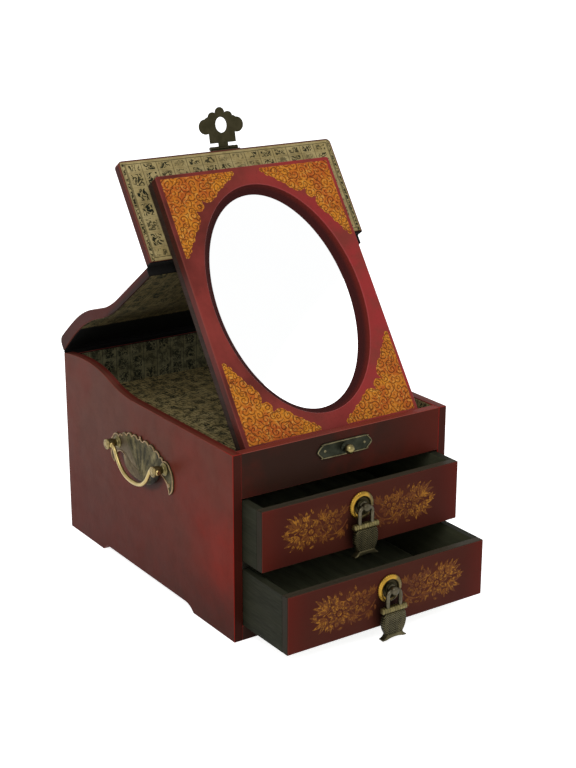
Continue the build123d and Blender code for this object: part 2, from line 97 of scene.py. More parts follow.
def chip(red, green, blue):
    """A colour chip's display values as the linear colour a shader takes."""
    linear = [(v / 255 / 12.92) if v <= 10 else ((v / 255 + 0.055) / 1.055) ** 2.4
              for v in (red, green, blue)]
    return (*linear, 1.0)


def tint(name, description, red, green, blue):
    return FloatVectorProperty(name=name, description=description, subtype="COLOR", size=4,
                               min=0, max=1, default=chip(red, green, blue))


def length(name, description, millimetres):
    return FloatProperty(name=name, description=description, unit="LENGTH", min=0,
                         default=millimetres * MM, precision=5)


def share(name, description, value, top=1.0):
    return FloatProperty(name=name, description=description, min=0, max=top, default=value)


def angle(name, description, degrees):
    return FloatProperty(name=name, description=description, subtype="ANGLE",
                         default=math.radians(degrees))


def spot(name, description, place):
    return FloatVectorProperty(name=name, description=description, subtype="XYZ", unit="LENGTH",
                               default=place)


# ------------------------------------------------------------------ sizes and colours
class VANITY_PG_lacquer(bpy.types.PropertyGroup):
    """Lacquered and stained wood."""
    rose: tint("Rose", "Dulled lacquer high on the sides", 98, 56, 45)
    crimson: tint("Crimson", "Lacquer where it is still red", 124, 31, 18)
    # Umber is also laid as painted shade on the mirror frame's sides and the leaves' end faces
    umber: tint("Umber", "Smoke stain over the lacquer", 50, 31, 24)
    maroon: tint("Maroon", "Lacquer on the drawers' fronts", 66, 25, 19)
    # Rubbed edges of the boards, and the painted highlight along their arrises
    rubbed_and_lit_edge: tint("Board edge", "Rubbed edges of the boards", 150, 78, 68)
    mirror_red: tint("Mirror red", "Lacquer on the mirror's frame", 136, 57, 51)
    mirror_shade: tint("Mirror shade", "Lacquer in the frame's flared opening", 38, 20, 19)
    drawer_wood: tint("Drawer wood", "Stained wood of the drawer boxes", 44, 45, 33)
    # Painted light: a pale colour that lifts the wood inside the drawers
    drawer_inside_painted_light: tint("Drawer inside", "Wood inside the drawers", 122, 124, 96)
    inner_wood: tint("Inner wood", "Raw dark wood inside the case", 40, 38, 30)
    roughness: share("Roughness", "How dull the lacquer is", 0.4)
    gloss: share("Gloss", "Strength of the lacquer's reflection", 0.035)
    ease: length("Eased edge", "Rounding of the case's outer boards", 0.55)
    inner_ease: length("Inner eased edge", "Rounding of the boards inside the case", 0.3)
    thin_ease: length("Thin eased edge", "Rounding of the lid's leaves and drawers' sides", 0.4)
    front_ease: length("Front eased edge", "Rounding of drawer fronts and backboard", 0.5)


class VANITY_PG_gilding(bpy.types.PropertyGroup):
    """Gold painting on the mirror's frame and the drawers."""
    gold: tint("Gold", "Bright gold paint", 202, 128, 38)
    amber: tint("Amber", "Gold paint rubbed thin", 176, 88, 34)
    outline: tint("Outline", "Dark lines drawn in the gold", 66, 36, 18)
    drawer_gold: tint("Drawer gold", "Gold paint on the drawers", 126, 75, 28)
    drawer_amber: tint("Drawer amber", "Worn gold on the drawers", 90, 46, 22)
    margin: length("Margin", "Bare lacquer outside the corner ornaments", 3.2)
    curl: length("Curl", "Width of one curl in the ornament", 7.4)
    relief: length("Relief", "Height of the gold on the drawers", 0.22)


class VANITY_PG_paper(bpy.types.PropertyGroup):
    """Printed paper that lines the box."""
    sheet: tint("Sheet", "Aged paper", 188, 170, 120)
    stain: tint("Stain", "Paper where it has yellowed", 160, 141, 92)
    ink: tint("Ink", "Printing ink", 26, 30, 21)
    column: length("Column", "Width of one ruled column", 13.5)
    rule: length("Rule", "Width of the ruled lines", 0.45)
    mark: length("Mark", "Size of one brushed dab", 5.0)


class VANITY_PG_metal(bpy.types.PropertyGroup):
    """Brass, gilt and bronze fittings."""
    brass: tint("Brass", "Rubbed brass", 134, 122, 80)
    patina: tint("Patina", "Tarnish in the brass", 46, 43, 27)
    gilt: tint("Gilt", "Gilded rosettes", 160, 124, 48)
    steel: tint("Steel", "Posts and shackles", 86, 80, 65)
    bronze: tint("Bronze", "Hasp and hinges", 56, 52, 36)
    roughness: share("Roughness", "How dull the metal is", 0.38)
    grip: tint("Grip", "Brass worn bright where it is touched", 172, 152, 100)
    dark_brass: tint("Dark brass", "Brass that has gone dull", 88, 82, 58)
    edge: tint("Edge", "Raised edges of the plates", 146, 122, 90)
    bail_middle: length("Bail middle", "Radius of the bails at the grip", 1.8)
    bail_end: length("Bail end", "Radius of the bails at the posts", 1.5)


class VANITY_PG_stage(bpy.types.PropertyGroup):
    """Camera, light and floor."""
    lens: FloatProperty(name="Lens", description="Focal length", unit="CAMERA", default=72.65)
    place: spot("Camera place", "Where the camera stands", (-0.6582, -1.0181, 0.5469))
    aim: spot("Camera aim", "What the camera looks at", (0.0406, 0.0007, 0.1423))
    roll: angle("Roll", "Camera roll", -0.11)
    daylight: share("Daylight", "Strength of the room's even light", 0.62, 4)
    window: share("Window", "Power of the window on the left, in watts", 9.0, 100)
    fill: share("Fill", "Power of the fill on the right, in watts", 2.5, 100)
    floor: tint("Floor", "Colour of the floor", 250, 250, 250)
    floor_lift: share("Floor lift", "How far the floor is lifted towards white", 0.88)


class VANITY_PG_box(bpy.types.PropertyGroup):
    """Everything about the box that a user would change."""
    lacquer: PointerProperty(type=VANITY_PG_lacquer)
    gilding: PointerProperty(type=VANITY_PG_gilding)
    paper: PointerProperty(type=VANITY_PG_paper)
    metal: PointerProperty(type=VANITY_PG_metal)
    stage: PointerProperty(type=VANITY_PG_stage)
    tilt: angle("Mirror tilt", "Mirror's lean from upright at rest", 34.5)
    lid_opened: angle("Lid opened", "Rear leaf's angle at rest", 35.5995)


def box_settings():
    return bpy.context.scene.vanity_box


# ------------------------------------------------------------------ shader arithmetic
class Value:
    """A shader socket that takes part in Python arithmetic."""

    def __init__(self, paint, socket):
        self.paint = paint
        self.socket = socket

    def apply(self, operation, *others):
        """A Math node with this value in its first socket."""
        return self.paint.node("Math", {"operation": operation}, dict(enumerate((self, *others))))

    def __rsub__(self, other):
        return self.paint.node("Math", {"operation": "SUBTRACT"}, {0: other, 1: self})

    __add__ = __radd__ = partialmethod(apply, "ADD")
    __mul__ = __rmul__ = partialmethod(apply, "MULTIPLY")
    __sub__ = partialmethod(apply, "SUBTRACT")
    __truediv__ = partialmethod(apply, "DIVIDE")
    __pow__ = partialmethod(apply, "POWER")
    __abs__ = partialmethod(apply, "ABSOLUTE")
    fraction = partialmethod(apply, "FRACT")
    floor = partialmethod(apply, "FLOOR")
    least = partialmethod(apply, "MINIMUM")
    most = partialmethod(apply, "MAXIMUM")
    wave = partialmethod(apply, "SINE")
    bearing = partialmethod(apply, "ARCTAN2")

    def over(self, edge, softness):
        """0 below the edge and 1 above it, with a soft step."""
        return self.paint.node("MapRange", {"interpolation_type": "SMOOTHSTEP"},
                               {0: self, 1: edge - softness, 2: edge + softness, 3: 0.0, 4: 1.0})

    def under(self, edge, softness):
        return 1 - self.over(edge, softness)


def squares(a, b):
    """The sum of two squares."""
    return a * a + b * b


class Paint:
    """One node material, with plain calls for its nodes."""

    def __init__(self, name, **constants):
        self.material = bpy.data.materials.new(name)
        self.material.use_nodes = True
        self.tree = self.material.node_tree
        self.shader = self.tree.nodes["Principled BSDF"]
        self.finish(**constants)

    def node(self, kind, settings=None, inputs=None, output=0):
        """Any shader node: its settings first, then the values or links of its sockets."""
        made = self.tree.nodes.new("ShaderNode" + kind)
        for key, value in (settings or {}).items():
            setattr(made, key, value)
        for key, value in (inputs or {}).items():
            self.feed(made.inputs[key], value)
        return Value(self, made.outputs[output])

    def feed(self, socket, value):
        if isinstance(value, Value):
            self.tree.links.new(value.socket, socket)
        else:
            socket.default_value = value

    def finish(self, **sockets):
        """Set the shader's constants and link what varies over the surface."""
        for key, value in sockets.items():
            self.feed(self.shader.inputs[key.replace("_", " ")], value)
        return self.material

    def axes(self, point):
        """The three parts of a vector."""
        split = self.node("SeparateXYZ", inputs={0: point})
        return [Value(self, socket) for socket in split.socket.node.outputs]

    @cached_property
    def place(self):
        """The point that is painted."""
        return self.node("TexCoord", output=3)

    @cached_property
    def xyz(self):
        return self.axes(self.place)

    @cached_property
    def normal(self):
        """The three parts of the surface's direction."""
        return self.axes(self.node("TexCoord", output=1))

    def vector(self, operation, first, second, output=0):
        return self.node("VectorMath", {"operation": operation}, {0: first, 1: second}, output)

    def from_hinge(self, direction):
        """How far the point lies from the lid's middle hinge in a direction."""
        return self.vector("DOT_PRODUCT", self.vector("SUBTRACT", self.place, LEAF_HINGE),
                           direction, output=1)

    def join(self, x, y):
        return self.node("CombineXYZ", inputs={0: x, 1: y, 2: 0.0})

    def noise(self, size, detail=4.0, roughness=0.55, distortion=0.0, shift=0.0, at=None):
        """Soft clouds about one size across, from 0 to 1."""
        point = at or self.place
        if shift:
            point = self.vector("ADD", point, (shift, shift, shift))
        return self.node("TexNoise", {"normalize": True},
                         {"Vector": point, "Scale": 1 / size, "Detail": detail,
                          "Roughness": roughness, "Distortion": distortion})

    def hollow(self):
        """1 deep in a hollow and 0 on an open face."""
        return 1 - self.node("AmbientOcclusion", {"samples": 8, "only_local": True},
                             {"Distance": 2.2 * MM}, output=1)

    def mix(self, amount, first, second):
        return self.node("Mix", {"data_type": "RGBA"}, {0: amount, 6: first, 7: second}, output=2)

    def coats(self, colour, *coats):
        """Lay coats over a colour in order, each given as how much and its colour."""
        for amount, coat in coats:
            colour = self.mix(amount, colour, coat)
        return colour

    def bump(self, height, distance, strength=1.0):
        return self.node("Bump", inputs={"Height": height, "Distance": distance,
                                         "Strength": strength})


# ------------------------------------------------------------------ mesh helpers
def mesh_of(verts, faces, matrix=None):
    """A mesh of points in millimetres."""
    mesh = bpy.data.meshes.new("piece")
    mesh.from_pydata([tuple(v * MM for v in point) for point in verts], [], faces)
    if matrix is not None:
        mesh.transform(matrix)
    work = bmesh.new()
    work.from_mesh(mesh)
    bmesh.ops.recalc_face_normals(work, faces=work.faces)
    work.to_mesh(mesh)
    work.free()
    return mesh


def joined(meshes):
    """One mesh out of several."""
    work = bmesh.new()
    for mesh in meshes:
        work.from_mesh(mesh)
        bpy.data.meshes.remove(mesh)
    mesh = bpy.data.meshes.new("piece")
    work.to_mesh(mesh)
    work.free()
    return mesh


def show(name, mesh, body, material, replaces=(), smooth=35):
    """Make an object of a mesh or a list of them, in its finish, and ride it on its body."""
    if isinstance(mesh, list):
        mesh = joined(mesh)
    mesh.name = name
    piece = bpy.data.objects.new(name, mesh)
    bpy.context.scene.collection.objects.link(piece)
    mesh.materials.clear()
    mesh.materials.append(material)
    mesh.shade_smooth()
    mesh.set_sharp_from_angle(angle=math.radians(smooth))
    if body:
        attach(piece, body)
    if replaces:
        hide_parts(*replaces)
    return piece


def full_turn(count, offset=0.0):
    """Angles at even steps round a circle."""
    return [2 * math.pi * (step + offset) / count for step in range(count)]


def rings(loops, matrix=None, closed=False):
    """Skin a row of equal loops of points; an open row gets flat ends."""
    count, faces = len(loops[0]), []
    for row in range(len(loops) if closed else len(loops) - 1):
        for step in range(count):
            a, b = row * count, (row + 1) % len(loops) * count
            after = (step + 1) % count
            faces.append((a + step, a + after, b + after, b + step))
    if not closed:
        faces.append(tuple(range(count)))
        faces.append(tuple(range((len(loops) - 1) * count, len(loops) * count)))
    return mesh_of([point for loop in loops for point in loop], faces, matrix)


def turned(profile, matrix, steps=40, flutes=0, depth=0.0):
    """Turn a profile of (radius, height) about local Z, with optional flutes."""
    return rings([[(radius * (1 + depth * math.cos(flutes * a)) * math.cos(a),
                    radius * (1 + depth * math.cos(flutes * a)) * math.sin(a), height)
                   for a in full_turn(steps)] for radius, height in profile], matrix)


def nail_head(radius, rise, matrix):
    """A low domed nail or screw head standing on Z = 0."""
    dome = [(radius * math.cos(a), rise * (0.25 + 0.75 * math.sin(a)))
            for a in (0.4, 0.8, 1.15, 1.4)]
    return turned([(radius, 0.0), (radius, rise * 0.25), *dome, (AXIS, rise)], matrix, 20)


def from_curve(curve, matrix):
    """The mesh that a curve makes."""
    holder = bpy.data.objects.new("curve", curve)
    bpy.context.scene.collection.objects.link(holder)
    mesh = bpy.data.meshes.new_from_object(
        holder.evaluated_get(bpy.context.evaluated_depsgraph_get()))
    bpy.data.objects.remove(holder)
    bpy.data.curves.remove(curve)
    mesh.transform(matrix)
    return mesh


def spline_in(curve, points, radii, cyclic):
    """Add a straight-sided line through points in millimetres."""
    spline = curve.splines.new("POLY")
    spline.points.add(len(points) - 1)
    for point, co, radius in zip(spline.points, points, radii):
        point.co = (*(v * MM for v in co), 1)
        point.radius = radius
    spline.use_cyclic_u = cyclic


def cut_sheet(outlines, thickness, ease, matrix):
    """A flat plate with rounded arrises from closed outlines; inner ones are holes."""
    curve = bpy.data.curves.new("sheet", "CURVE")
    curve.dimensions = "2D"
    curve.fill_mode = "BOTH"
    curve.extrude = (thickness / 2 - ease) * MM
    curve.bevel_depth = ease * MM
    curve.bevel_resolution = 2
    curve.offset = -ease * MM
    for outline in outlines:
        spline_in(curve, [(x, y, 0) for x, y in outline], [1.0] * len(outline), True)
    return from_curve(curve, shifted(matrix, z=thickness / 2))


def wire(points, radii, matrix, sides=6, cyclic=False):
    """A round wire along points; radii is one value or one for each point."""
    if isinstance(radii, float):
        radii = [radii] * len(points)
    curve = bpy.data.curves.new("wire", "CURVE")
    curve.dimensions = "3D"
    curve.bevel_depth = 1.0
    curve.bevel_resolution = sides
    curve.use_fill_caps = True
    spline_in(curve, points, [radius * MM for radius in radii], cyclic)
    return from_curve(curve, matrix)


def mirrored(half):
    """Points on the right, then their mirror images in reverse."""
    return [*half, *[(-x, y) for x, y in reversed(half)]]


def arc(start, through, end, steps=8):
    """Points on the arc through three points, without the last."""
    a, b, c = (Vector(p) for p in (start, through, end))
    d = 2 * (a.x * (b.y - c.y) + b.x * (c.y - a.y) + c.x * (a.y - b.y))
    ux = (a.dot(a) * (b.y - c.y) + b.dot(b) * (c.y - a.y) + c.dot(c) * (a.y - b.y)) / d
    uy = (a.dot(a) * (c.x - b.x) + b.dot(b) * (a.x - c.x) + c.dot(c) * (b.x - a.x)) / d
    centre = Vector((ux, uy))
    begin, middle, finish = (p - centre for p in (a, b, c))
    first = math.atan2(begin.y, begin.x)
    sweep = (math.atan2(finish.y, finish.x) - first) % (2 * math.pi)
    passed = (math.atan2(middle.y, middle.x) - first) % (2 * math.pi)
    if passed > sweep:
        sweep -= 2 * math.pi
    radius = begin.length
    return [(centre.x + radius * math.cos(first + sweep * i / steps),
             centre.y + radius * math.sin(first + sweep * i / steps)) for i in range(steps)]


def smooth_path(points, steps=6):
    """A smooth curve through points, by Catmull and Rom's rule."""
    points = [Vector((*p, 0)[:3]) for p in points]
    padded = [2 * points[0] - points[1], *points, 2 * points[-1] - points[-2]]
    path = []
    for a, b, c, d in zip(padded, padded[1:], padded[2:], padded[3:]):
        for step in range(steps):
            t = step / steps
            path.append(0.5 * (2 * b + (c - a) * t + (2 * a - 5 * b + 4 * c - d) * t ** 2
                               + (3 * b - a - 3 * c + d) * t ** 3))
    return [*path, points[-1]]


def eased_step(value):
    """A smooth rise from 0 to 1."""
    value = min(max(value, 0.0), 1.0)
    return value * value * (3 - 2 * value)


def eased(node, material, width, segments=2, near=None):
    """A copy of a board with its flat faces made whole and its edges rounded, but for those
    that reach the hinge cuts within 10 mm of near."""
    corner = math.radians(40)
    work = bmesh.new()
    work.from_mesh(frame["nodes"][node].data)
    bmesh.ops.remove_doubles(work, verts=work.verts, dist=2e-6)
    bmesh.ops.dissolve_limit(work, angle_limit=math.radians(0.5), verts=work.verts,
                             edges=work.edges)
    if near:
        weight = work.edges.layers.float.new("bevel_weight_edge")
        for edge in work.edges:
            cut = any(abs(v.co.x) < 0.08 and (v.co.yz - near.yz).length < 0.01
                      for v in edge.verts)
            edge[weight] = 0.0 if cut or edge.calc_face_angle(0) < corner else 1.0
    mesh = bpy.data.meshes.new(node)
    work.to_mesh(mesh)
    work.free()
    piece = show(node + "_eased", mesh, BODY_OF[node], material, (node,))
    bevel = piece.modifiers.new("eased edges", "BEVEL")
    bevel.width = width
    bevel.segments = segments
    bevel.limit_method = "WEIGHT" if near else "ANGLE"
    bevel.angle_limit = corner
    bevel.harden_normals = True


def refinish(material, *nodes):
    """Give nodes that keep their own shape a new finish."""
    for node in nodes:
        mesh = frame["nodes"][node].data
        mesh.materials.clear()
        mesh.materials.append(material)


def shifted(matrix, x=0.0, y=0.0, z=0.0):
    """A local frame moved within itself, in millimetres."""
    return matrix @ Matrix.Translation(Vector((x, y, z)) * MM)


def quarter(axis, turns=1):
    return Matrix.Rotation(turns * math.pi / 2, 4, axis)


def facing(x, y, z, side=0):
    """A local frame with X across, Y up and Z outward, on the front or on a side."""
    return shifted(Matrix(), x, y, z) @ quarter("Z", side) @ quarter("X")


def leaf_axes():
    """Directions on the front leaf: up along it, and out of the mirror's face."""
    tilt = box_settings().tilt
    return (Vector((0, math.sin(tilt), math.cos(tilt))),
            Vector((0, -math.cos(tilt), math.sin(tilt))))


def lid_axes():
    """Directions on the rear leaf at rest: back along it, and out of its upper face."""
    opened = box_settings().lid_opened
    return (Vector((0, math.cos(opened), -math.sin(opened))),
            Vector((0, math.sin(opened), math.cos(opened))))


def standing(origin, up, out):
    """A local frame at a point with X across, Y up and Z out."""
    turn = Matrix((Vector((1, 0, 0)), up, out)).transposed().to_4x4()
    return Matrix.Translation(origin) @ turn


# ------------------------------------------------------------------ finishes
def arris(paint):
    """1 on the rounded edges of boards that lie square to the axes."""
    nx, ny, nz = (abs(part) for part in paint.normal)
    return nx.most(ny).most(nz).under(0.955, 0.03)


def scuffs(paint):
    """Fine scratches and rubbed specks."""
    fine = paint.noise(0.0016, 3, 0.7, shift=7.0)
    return fine.over(0.64, 0.07) * paint.noise(0.03, 2, shift=2.0).over(0.5, 0.15)


def lacquer_coat(name, colour_of, rough=0.0):
    """Lacquer over wood: colour_of gives the colour, and the coat is dulled and rippled."""
    lacquer = box_settings().lacquer
    paint = Paint(name, Specular_IOR_Level=lacquer.gloss)
    colour = colour_of(paint, *paint.xyz, lacquer)
    colour = paint.mix(scuffs(paint) * 0.35, colour, lacquer.umber)
    dull = paint.noise(0.02, 5, 0.6, shift=5.0)
    ripple = paint.noise(0.0035, 2, shift=1.0) + 0.4 * paint.noise(0.0008, 2)
    return paint.finish(Base_Color=colour, Roughness=lacquer.roughness + rough + (dull - 0.5) * 0.3,
                        Normal=paint.bump(ripple, 0.00012, 0.5))


def side_colour(paint, x, y, z, lacquer):
    """Dulled rose lacquer, redder at the front, darker towards the floor and smoked in patches."""
    ny, nz = paint.normal[1:]
    clouds = paint.noise(0.07, 4, 0.55, shift=0.8) - 0.48
    smoke = paint.noise(0.018, 6, 0.65, shift=3.0)
    glow = y.under(-0.09, 0.034) * z.under(0.095, 0.025) * (x.under(0.0, 0.01) * 0.6 + 0.4)
    warm = y.under(-0.06, 0.1) * 0.32 + glow * 0.75
    low = z.under(0.06, 0.075) * (1 - glow * z.over(0.032, 0.016))
    foot = (z + y * 0.25).under(-0.004, 0.05)
    along, above = (0.0014 - y) / 0.0345, (z - 0.105) / 0.0225
    # A painted shade on the side under each handle plate, within the bail
    shade_below_plate = squares(along, above).under(1.1, 0.22) * above.under(-0.1, 0.2)
    behind_lid = (y.over(INNER_BACK - 0.0003, 0.0002) * z.over(0.1575, 0.0004)
                  * abs(x).under(INNER_HALF, 0.0004))
    inner_top = abs(x).under(INNER_HALF + 0.0037, 0.0012) * nz.over(0.4, 0.2)
    front = y.under(-0.12, 0.006)
    colour = paint.coats(
        lacquer.rose,
        ((clouds * 1.6 + warm + 0.04).most(0).least(1), lacquer.crimson),
        (glow * 0.22, chip(132, 40, 22)),
        (low * 0.88, chip(84, 21, 8)),
        (foot * 0.75 + smoke.over(0.52, 0.12) * 0.17, chip(52, 21, 7)),
        (shade_below_plate * 0.8, chip(50, 33, 27)),
        (ny.under(-0.9, 0.05) * 0.88, chip(56, 24, 18)),
        (behind_lid, chip(17, 16, 15)),
        (inner_top * 0.75, chip(88, 26, 20)))
    # Painted highlight and rubbing along the arrises: crimson on the front edges, pink elsewhere
    edge = paint.mix(front, lacquer.rubbed_and_lit_edge, chip(160, 36, 30))
    worn = arris(paint) * (smoke.over(0.4, 0.14) * 0.5).most(front * 0.75)
    return paint.mix(worn, colour, edge)


def fascia_colour(paint, x, y, z, lacquer):
    """Smoked umber that clears to crimson at the right end, with rubbed pink edges and a painted highlight on its
    top faces.
    """
    clouds = paint.noise(0.05, 5, 0.6, shift=1.4)
    # top: painted highlight on the faces that look up, redder and pinker
    top = paint.normal[2].over(0.35, 0.25)
    red = (x.over(0.062, 0.05) * 0.38 + clouds.over(0.6, 0.14) * 0.2 + top * 0.5).least(1)
    between_sides = abs(x).under(INNER_HALF - 0.001, 0.0006)
    # worn: rubbed edges with their painted highlight, most between the sides
    worn = arris(paint) * clouds.over(0.36, 0.1) * (between_sides * 0.6 + 0.1)
    return paint.coats(lacquer.umber, (red, lacquer.crimson), (top * 0.2, lacquer.rubbed_and_lit_edge),
                       (worn, lacquer.rubbed_and_lit_edge))


def leaf_colour(paint, x, y, z, lacquer):
    """Crimson lacquer on the lid's leaves, dark along their sawn edges and inside."""
    upward = lid_axes()[1]
    up, out, back, above = (paint.from_hinge(axis) for axis in (*leaf_axes(), *lid_axes()))
    clouds = paint.noise(0.03, 5, 0.6, shift=4.0)
    nx, ny, nz = paint.normal
    nx = abs(nx)
    end_face = nx.over(0.5, 0.2)
    red = tuple(a * 0.55 + b * 0.45 for a, b in zip(lacquer.crimson, lacquer.rose))
    sawn = paint.mix(clouds.over(0.44, 0.1) * 0.5, chip(60, 25, 22), chip(84, 30, 20))
    lining_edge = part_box("front_leaf_lining")[1][0] + 0.0001
    rear_inside = above.under(-0.0036, 0.0026) * back.over(0.001, 0.0005)
    hinge_ends = (up.under(0.0012, 0.0002) * out.over(0.0006, 0.0002)).most(
        back.under(0.0016, 0.0002) * above.under(-0.0006, 0.0002))
    tail = z.under(0.1632, 0.0006) * y.over(0.12, 0.001)
    return paint.coats(
        red,
        (clouds.over(0.52, 0.2) * 0.6, lacquer.umber),
        ((ny * upward.y + nz * upward.z).under(-0.3, 0.1) * 0.9, chip(40, 25, 20)),
        (end_face * 0.9, sawn),
        # painted shade: the end faces darker towards their low end
        ((z - y * 0.5).under(0.118, 0.03) * end_face * 0.6, lacquer.umber),
        # the bevels take the rubbed edge colour with its painted highlight
        (nx.under(0.97, 0.02) * nx.over(0.2, 0.1) * 0.35, lacquer.rubbed_and_lit_edge),
        (up.over(0.0842, 0.0008) * 0.75, chip(84, 46, 40)),
        (abs(x).over(lining_edge, 0.0002) * nx.under(0.4, 0.1) * 0.9, chip(112, 66, 54)),
        (rear_inside * 0.85, chip(28, 19, 15)),
        (hinge_ends.most(tail), chip(17, 16, 15)))


def drawer_colour(paint, x, y, z, lacquer):
    """Crimson at the ends, brown in the middle, a painted shadow round and below the pull, and bare along the top
    edge.
    """
    clouds = paint.noise(0.04, 5, 0.65, shift=6.0)
    nx, ny = paint.normal[:2]
    (high_x, _, high, *_), (low_x, _, low, *_) = DRAWERS.values()
    upper = z.over(0.062, 0.001)
    level, centre = upper * ((high - low) * MM) + low * MM, upper * ((high_x - low_x) * MM)
    blossom = squares((abs(x - centre) - 0.039) / 0.034, (z - level) / 0.0165)
    # pull: a painted shadow of the pull on the front, round and below it
    pull = squares((x - centre + 0.002) / 0.015, (z - level + 0.008) / 0.021)
    return paint.coats(
        lacquer.maroon,
        (abs(x).over(0.082, 0.014) * 0.26, lacquer.crimson),
        (abs(x).under(0.05, 0.05) * 0.4 + clouds.over(0.55, 0.22) * 0.3, chip(70, 36, 24)),
        ((blossom + (clouds - 0.5) * 2.0).under(0.7, 0.5) * 0.4, chip(86, 44, 26)),
        (pull.under(0.65, 0.55) * 0.85, chip(20, 12, 9)),
        # the front's arris takes the rubbed edge colour with its painted highlight
        (ny.under(-0.9, 0.08) * ny.over(-0.985, 0.02) * 0.5, lacquer.rubbed_and_lit_edge),
        (ny.over(-0.55, 0.15), chip(60, 54, 43)),
        (abs(nx).over(0.6, 0.1), chip(44, 40, 31)))


def bare_wood(name, colour, inside=None):
    """Stained wood with its grain along the board, and paler inside a drawer as painted light."""
    paint = Paint(name, Specular_IOR_Level=DULL)
    drawn = paint.vector("MULTIPLY", paint.place, (1, 0.08, 1))
    fibre = paint.noise(0.0011, 5, 0.6, at=drawn)
    bands = paint.noise(0.007, 3, 0.5, shift=2.0, at=drawn)
    dark = tuple(v * 0.45 for v in colour[:3]) + (1.0,)
    mixed = paint.mix((fibre * 0.55 + bands * 0.6).over(0.62, 0.28), colour, dark)
    if inside:
        x = paint.xyz[0]
        # painted light: the drawers' inner faces are lifted to a pale colour, less towards the right
        sunk = (abs(x).under(DRAWER_INNER_HALF + 0.0008, 0.0003)
                * paint.normal[2].under(0.5, 0.2))
        pale = (0.55 + bands * 0.4 - x.over(0.04, 0.03) * 0.5).most(0)
        mixed = paint.mix(sunk * pale, mixed, inside)
    return paint.finish(Base_Color=mixed, Roughness=0.52 + fibre * 0.3,
                        Normal=paint.bump(fibre, 0.0002, 0.6))


def printed_paper(name, flatten, painted_shade=0.0, dabs=0.8, wash=0.6, tone=(1.0, 1.0, 1.0), border=None):
    """Aged paper ruled in columns, with soft ink dabs that are a pattern and nothing more.
    flatten gives the two coordinates along the sheet; border is its half width and ends."""
    paper = box_settings().paper
    paint = Paint(name, Specular_IOR_Level=DULL)
    u, v = flatten(paint)
    paint.place = paint.join(u, v)  # from here on, everything is drawn on the flat sheet
    warp = paint.noise(0.012, 2, shift=9.0) - 0.5
    column = (u + warp * 0.0006) / paper.column
    row = (v + warp * 0.001) / (paper.column * 0.92)
    across, down = abs(column.fraction() - 0.5), abs(row.fraction() - 0.5)
    rule = across.over(0.5 - paper.rule / paper.column / 2, 0.014)
    rule = rule.most(down.over(0.49, 0.012) * 0.55)
    chance = paint.node("TexWhiteNoise", {"noise_dimensions": "2D"},
                        {"Vector": paint.join(column.floor(), row.floor())})
    brush = paint.noise(paper.mark * dabs, 1.5, 0.5, 0.9, shift=4.0)
    stroke = abs(brush - 0.5).under(0.048, 0.012).most(brush.over(0.63, 0.02))
    mark = (stroke * across.under(0.34, 0.03) * down.under(0.4, 0.03)
            * (0.6 + chance.over(0.35, 0.25) * 0.4))
    fade = paint.noise(0.03, 3, shift=8.0).over(0.42, 0.18)
    foxing = paint.noise(0.014, 6, 0.7, shift=2.0).over(0.5, 0.2)
    smudge = paint.noise(0.0065, 5, 0.7, 0.6, shift=12.0).over(0.53, 0.1)
    fibre = paint.noise(0.0009, 3)
    if border:
        half, low, high = border
        inset = (half - abs(u)).least(v - low).least(high - v) + warp * 0.0005
        rule = (rule * inset.over(0.0034, 0.0002)).most(
            abs(inset - 0.0032).under(paper.rule * 0.6, 0.0001))
        fret = abs(paint.noise(0.0028, 2, 0.5, 0.5, shift=15.0) - 0.5).under(0.07, 0.015)
        side = (half - abs(u)) + warp * 0.0005
        mark = (mark * inset.over(0.0042, 0.0003)).most(
            fret * side.over(0.0009, 0.0003) * side.under(0.0028, 0.0003))
        smudge = smudge.most(inset.under(0.0012, 0.0012) * 1.6)
    # The third argument darkens the whole sheet as painted shade inside the box
    sheet, stain = (tuple(v * (1 - painted_shade) * t for v, t in zip(colour, tone)) + (1.0,)
                    for colour in (paper.sheet, paper.stain))
    colour = paint.coats(sheet, (foxing, stain),
                         ((fibre * 0.15 + smudge * wash).least(1), paper.ink),
                         ((mark * (0.85 + 0.15 * fade)).most(rule * 0.85), paper.ink))
    return paint.finish(Base_Color=colour, Roughness=0.62 + fibre * 0.2,
                        Normal=paint.bump(fibre, 0.00015, 0.5))


def metal(name, bright, tarnish=None, rough=0.38, spread=0.5):
    """Old metal, bright on what is rubbed and tarnished in its hollows."""
    paint = Paint(name, Metallic=1.0)
    cloud = paint.noise(0.007, 5, 0.62)
    fine = paint.noise(0.0014, 3, 0.6, shift=3.0)
    dull = (cloud.over(spread, 0.16) * 0.55 + paint.hollow().over(0.35, 0.3) * 0.9).least(1.0)
    colour = paint.mix(dull, bright, tarnish or box_settings().metal.patina)
    return paint.finish(Base_Color=colour, Roughness=rough + dull * 0.22 + (fine - 0.5) * 0.12,
                        Normal=paint.bump(fine, 0.00012, 0.45))


# ------------------------------------------------------------------ the wooden case
class VANITY_OT_case(bpy.types.Operator):
    """Lacquered sides, front and inner boards of the case"""
    bl_idname = "vanity.case"
    bl_label = "Case"

    def execute(self, context):
        lacquer = box_settings().lacquer
        side = lacquer_coat("side_lacquer", side_colour)
        fascia = lacquer_coat("fascia_lacquer", fascia_colour)
        wood = bare_wood("inner_wood", lacquer.inner_wood)
        for node in ("side_panel_left", "side_panel_right", "back_panel"):
            eased(node, side, lacquer.ease)
        for node in ("front_fascia", "front_rail"):
            eased(node, fascia, lacquer.ease)
        for node in ("drawer_divider", "bottom_board", "compartment_floor", "mirror_stop",
                     "mirror_ledge"):
            eased(node, wood, lacquer.inner_ease, segments=1)
        return {"FINISHED"}


